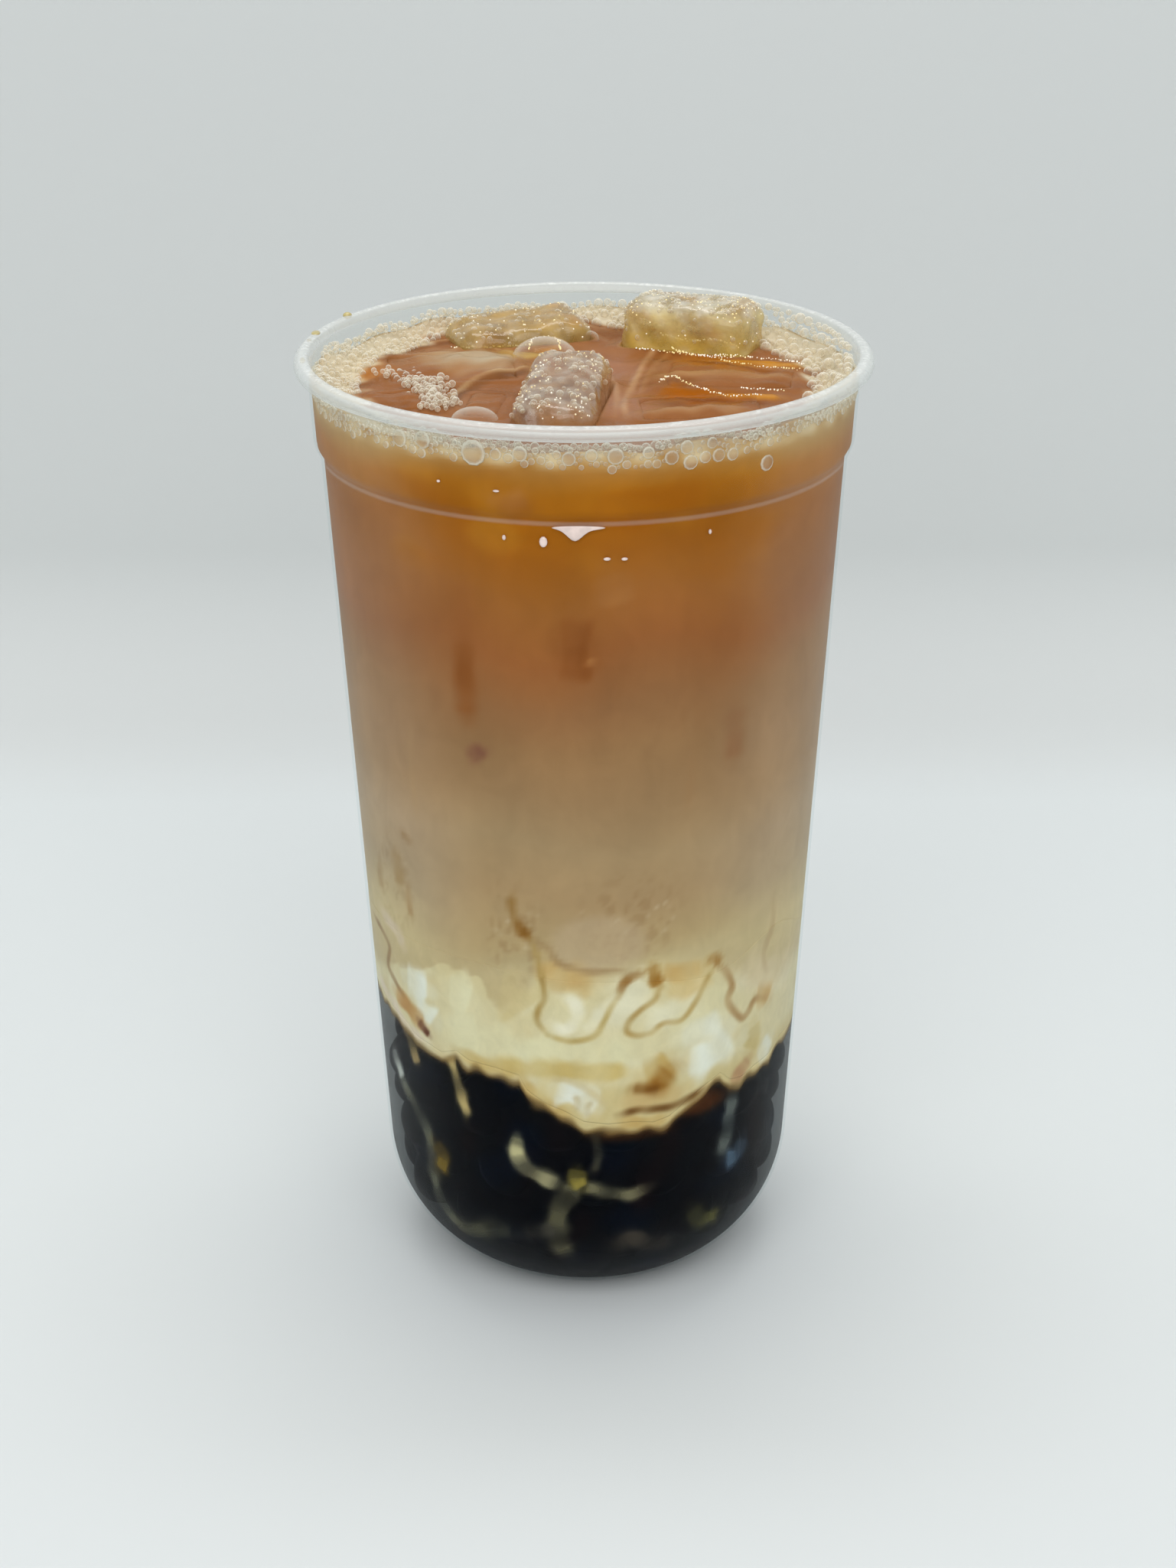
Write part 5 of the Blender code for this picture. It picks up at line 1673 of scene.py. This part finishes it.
class MILKTEA_OT_drips(bpy.types.Operator):
    """Leave the dried milk under the shoulder, its drops, and the tea on the rim"""

    bl_idname = "milk_tea.drips"
    bl_label = "Drips"

    # Drops on the wall: azimuth, height, half width, half height in mm
    DROPS = (
        (-8.4, 137.3, 0.62, 0.85),
        (-16.6, 137.6, 0.3, 0.42),
        (4.6, 134.7, 0.55, 0.28),
        (8.2, 134.6, 0.5, 0.26),
        (26.6, 137.5, 0.25, 0.4),
        (-17.5, 145.0, 0.5, 0.2),
        (-30.0, 145.4, 0.3, 0.22),
    )

    def execute(self, context):
        drink, cup = sizes().drink, sizes().cup
        form = CupForm(cup)
        spots = np.array(self.DROPS)
        drops = wall_lenses(
            form, spots[:, 0], spots[:, 1] * MM, spots[:, 2] * MM, spots[:, 3] * MM, 0.1 * MM, 0.22 * MM
        )
        points, faces = joined(drops)
        smear, smear_faces = self.smear(form)
        faces = [*faces, *[f + len(points) for f in smear_faces]]
        piece = add_piece("milk_drips", np.concatenate([points, smear]), faces, "milk")
        piece.data.materials.append(drip_finish("dried_milk", tuple(drink.drip)))
        spills = ((-38.2, 21.6, 155.3), (-42.4, 10.2, 155.35), (-43.2, 6.4, 155.2), (-43.4, -3.5, 154.6))
        size = np.array((0.75, 0.9, 0.6, 0.7))
        flat = np.array(((1, 1, 0.75), (0.8, 1.4, 0.35), (0.7, 1.3, 0.3), (0.6, 1.2, 0.6)))
        tea_points, tea_faces = balls(np.array(spills) * MM, size * MM, 20, 12, flat)
        spill = add_piece("tea_drops", tea_points.reshape(-1, 3), tea_faces, "tea")
        spill.data.materials.append(drip_finish("dried_tea", linear(196, 178, 112)))
        return {"FINISHED"}

    @staticmethod
    def smear(form):
        """The run of milk under the shoulder: a flat lens, level above and drawn to a point below."""
        points, faces = balls(np.zeros((1, 3)), [1.0], 48, 10)
        across, up, lift = points[0].T
        wide = across * 3.9
        low = -(0.35 + 1.7 * np.exp(-(((across + 0.15) / 0.4) ** 2)))
        tall = np.where(up > 0, up * 0.35, -up * low)
        z = (139.55 + tall) * MM
        turn = np.radians(-1.2) + wide * MM / form.radius(z)
        radius = form.radius(z, 0.08 * MM) + lift * 0.2 * MM
        return np.stack([radius * np.sin(turn), -radius * np.cos(turn), z], -1), faces


class MILKTEA_OT_stage(bpy.types.Operator):
    """Lay the floor and backdrop in one sweep, and set the light and the camera"""

    bl_idname = "milk_tea.stage"
    bl_label = "Stage"

    def execute(self, context):
        stage = sizes().stage
        scene = context.scene
        scene.view_settings.view_transform = "Standard"
        self.sweep(stage)
        world = scene.world or bpy.data.worlds.new("sky")
        scene.world = world
        world.use_nodes = True
        background = world.node_tree.nodes["Background"]
        background.inputs["Color"].default_value = (0.965, 0.985, 1.0, 1.0)
        background.inputs["Strength"].default_value = stage.sky
        self.light("overhead", (0.5, 0.16), stage.lamp, (0.0, 0.12, 0.75), -8)
        self.light("front", (1.4, 1.0), stage.front, (0.0, -1.05, 1.0), 46)
        camera = bpy.data.cameras.new("camera")
        camera.lens = stage.lens
        camera.sensor_width = 36
        camera.clip_start = 0.01
        view = bpy.data.objects.new("camera", camera)
        scene.collection.objects.link(view)
        down, roll = math.radians(22.82), -0.00424
        right = np.array((1.0, 0, 0)) * math.cos(roll) + np.array(
            (0, math.sin(down), math.cos(down))
        ) * math.sin(roll)
        ahead = np.array((0, math.cos(down), -math.sin(down)))
        up = np.cross(right, ahead)
        turn = Matrix(np.stack([right, up, -ahead], 1)).to_4x4()
        view.matrix_world = Matrix.Translation((0.000353, -0.4637, 0.2772)) @ turn
        scene.camera = view
        return {"FINISHED"}

    @staticmethod
    def light(name, size, power, place, tilt):
        """A rectangle of soft light, tilted about X from straight down."""
        lamp = bpy.data.lights.new(name, "AREA")
        lamp.shape = "RECTANGLE"
        lamp.size, lamp.size_y = size
        lamp.energy = power
        holder = bpy.data.objects.new(name, lamp)
        holder.location = place
        holder.rotation_euler = (math.radians(tilt), 0, 0)
        bpy.context.scene.collection.objects.link(holder)

    @staticmethod
    def sweep(stage):
        """Floor, quarter circle and upright backdrop as one strip, drawn out along X."""
        fillet, far = stage.backdrop_fillet, stage.backdrop_distance
        angle = np.linspace(0, np.pi / 2, 24)
        bend = np.stack([far - fillet + fillet * np.sin(angle), fillet - fillet * np.cos(angle)], -1)
        line = np.concatenate([[[-2.0, 0]], bend, [[far, 0.9]]])
        x = np.linspace(-2.5, 2.5, 9)
        points = np.stack(
            [
                np.broadcast_to(x, (len(line), len(x))),
                np.repeat(line[:, :1], len(x), 1),
                np.repeat(line[:, 1:], len(x), 1),
            ],
            -1,
        )
        first = np.arange(len(line) - 1)[:, None] * len(x) + np.arange(len(x) - 1)
        faces = np.stack([first, first + 1, first + len(x) + 1, first + len(x)], -1).reshape(-1, 4)
        mesh = bpy.data.meshes.new("floor_and_backdrop")
        mesh.from_pydata(points.reshape(-1, 3).tolist(), [], faces.tolist())
        mesh.shade_smooth()
        floor = bpy.data.objects.new("floor_and_backdrop", mesh)
        bpy.context.scene.collection.objects.link(floor)
        finish = Finish("pale_floor")
        rise = finish.axis("Y").step(0.183, 0.220)
        grain = finish.noise(14, 3.0)
        tone = finish.blend(rise, tuple(stage.floor), tuple(stage.backdrop))
        shade = finish.blend(grain.step(0.3, 0.7) * 0.02, tone, (0.5, 0.55, 0.55))
        sheet = finish.principled(Base_Color=shade, Roughness=0.6, IOR=1.2)
        behind = finish.node("ShaderNodeNewGeometry", out="Backfacing")
        mesh.materials.append(finish.output(finish.mixed(behind, sheet, finish.transparent())))


class MILKTEA_PT_panel(bpy.types.Panel):
    """Settings and steps of the cup of milk tea"""

    bl_label = "Milk tea"
    bl_idname = "MILKTEA_PT_panel"
    bl_space_type = "VIEW_3D"
    bl_region_type = "UI"
    bl_category = "Milk tea"

    def draw(self, context):
        settings = context.scene.milk_tea
        for title, group in (
            ("Cup", settings.cup),
            ("Drink", settings.drink),
            ("Ice", settings.ice),
            ("Stage", settings.stage),
        ):
            box = self.layout.box()
            box.label(text=title)
            for name in group.__annotations__:
                box.prop(group, name)
        for step in STEPS:
            self.layout.operator(step.bl_idname)


SETTINGS = (CupSettings, DrinkSettings, IceSettings, StageSettings, MilkTeaSettings)
STEPS = (
    MILKTEA_OT_cup,
    MILKTEA_OT_pearls,
    MILKTEA_OT_milk,
    MILKTEA_OT_tea,
    MILKTEA_OT_ice,
    MILKTEA_OT_foam,
    MILKTEA_OT_beads,
    MILKTEA_OT_drips,
    MILKTEA_OT_stage,
)


def register():
    for kind in (*SETTINGS, *STEPS, MILKTEA_PT_panel):
        bpy.utils.register_class(kind)
    bpy.types.Scene.milk_tea = PointerProperty(type=MilkTeaSettings)


def unregister():
    del bpy.types.Scene.milk_tea
    for kind in reversed((*SETTINGS, *STEPS, MILKTEA_PT_panel)):
        bpy.utils.unregister_class(kind)


def main():
    register()
    for step in STEPS:
        group, name = step.bl_idname.split(".")
        getattr(getattr(bpy.ops, group), name)()


if __name__ == "__main__":
    main()
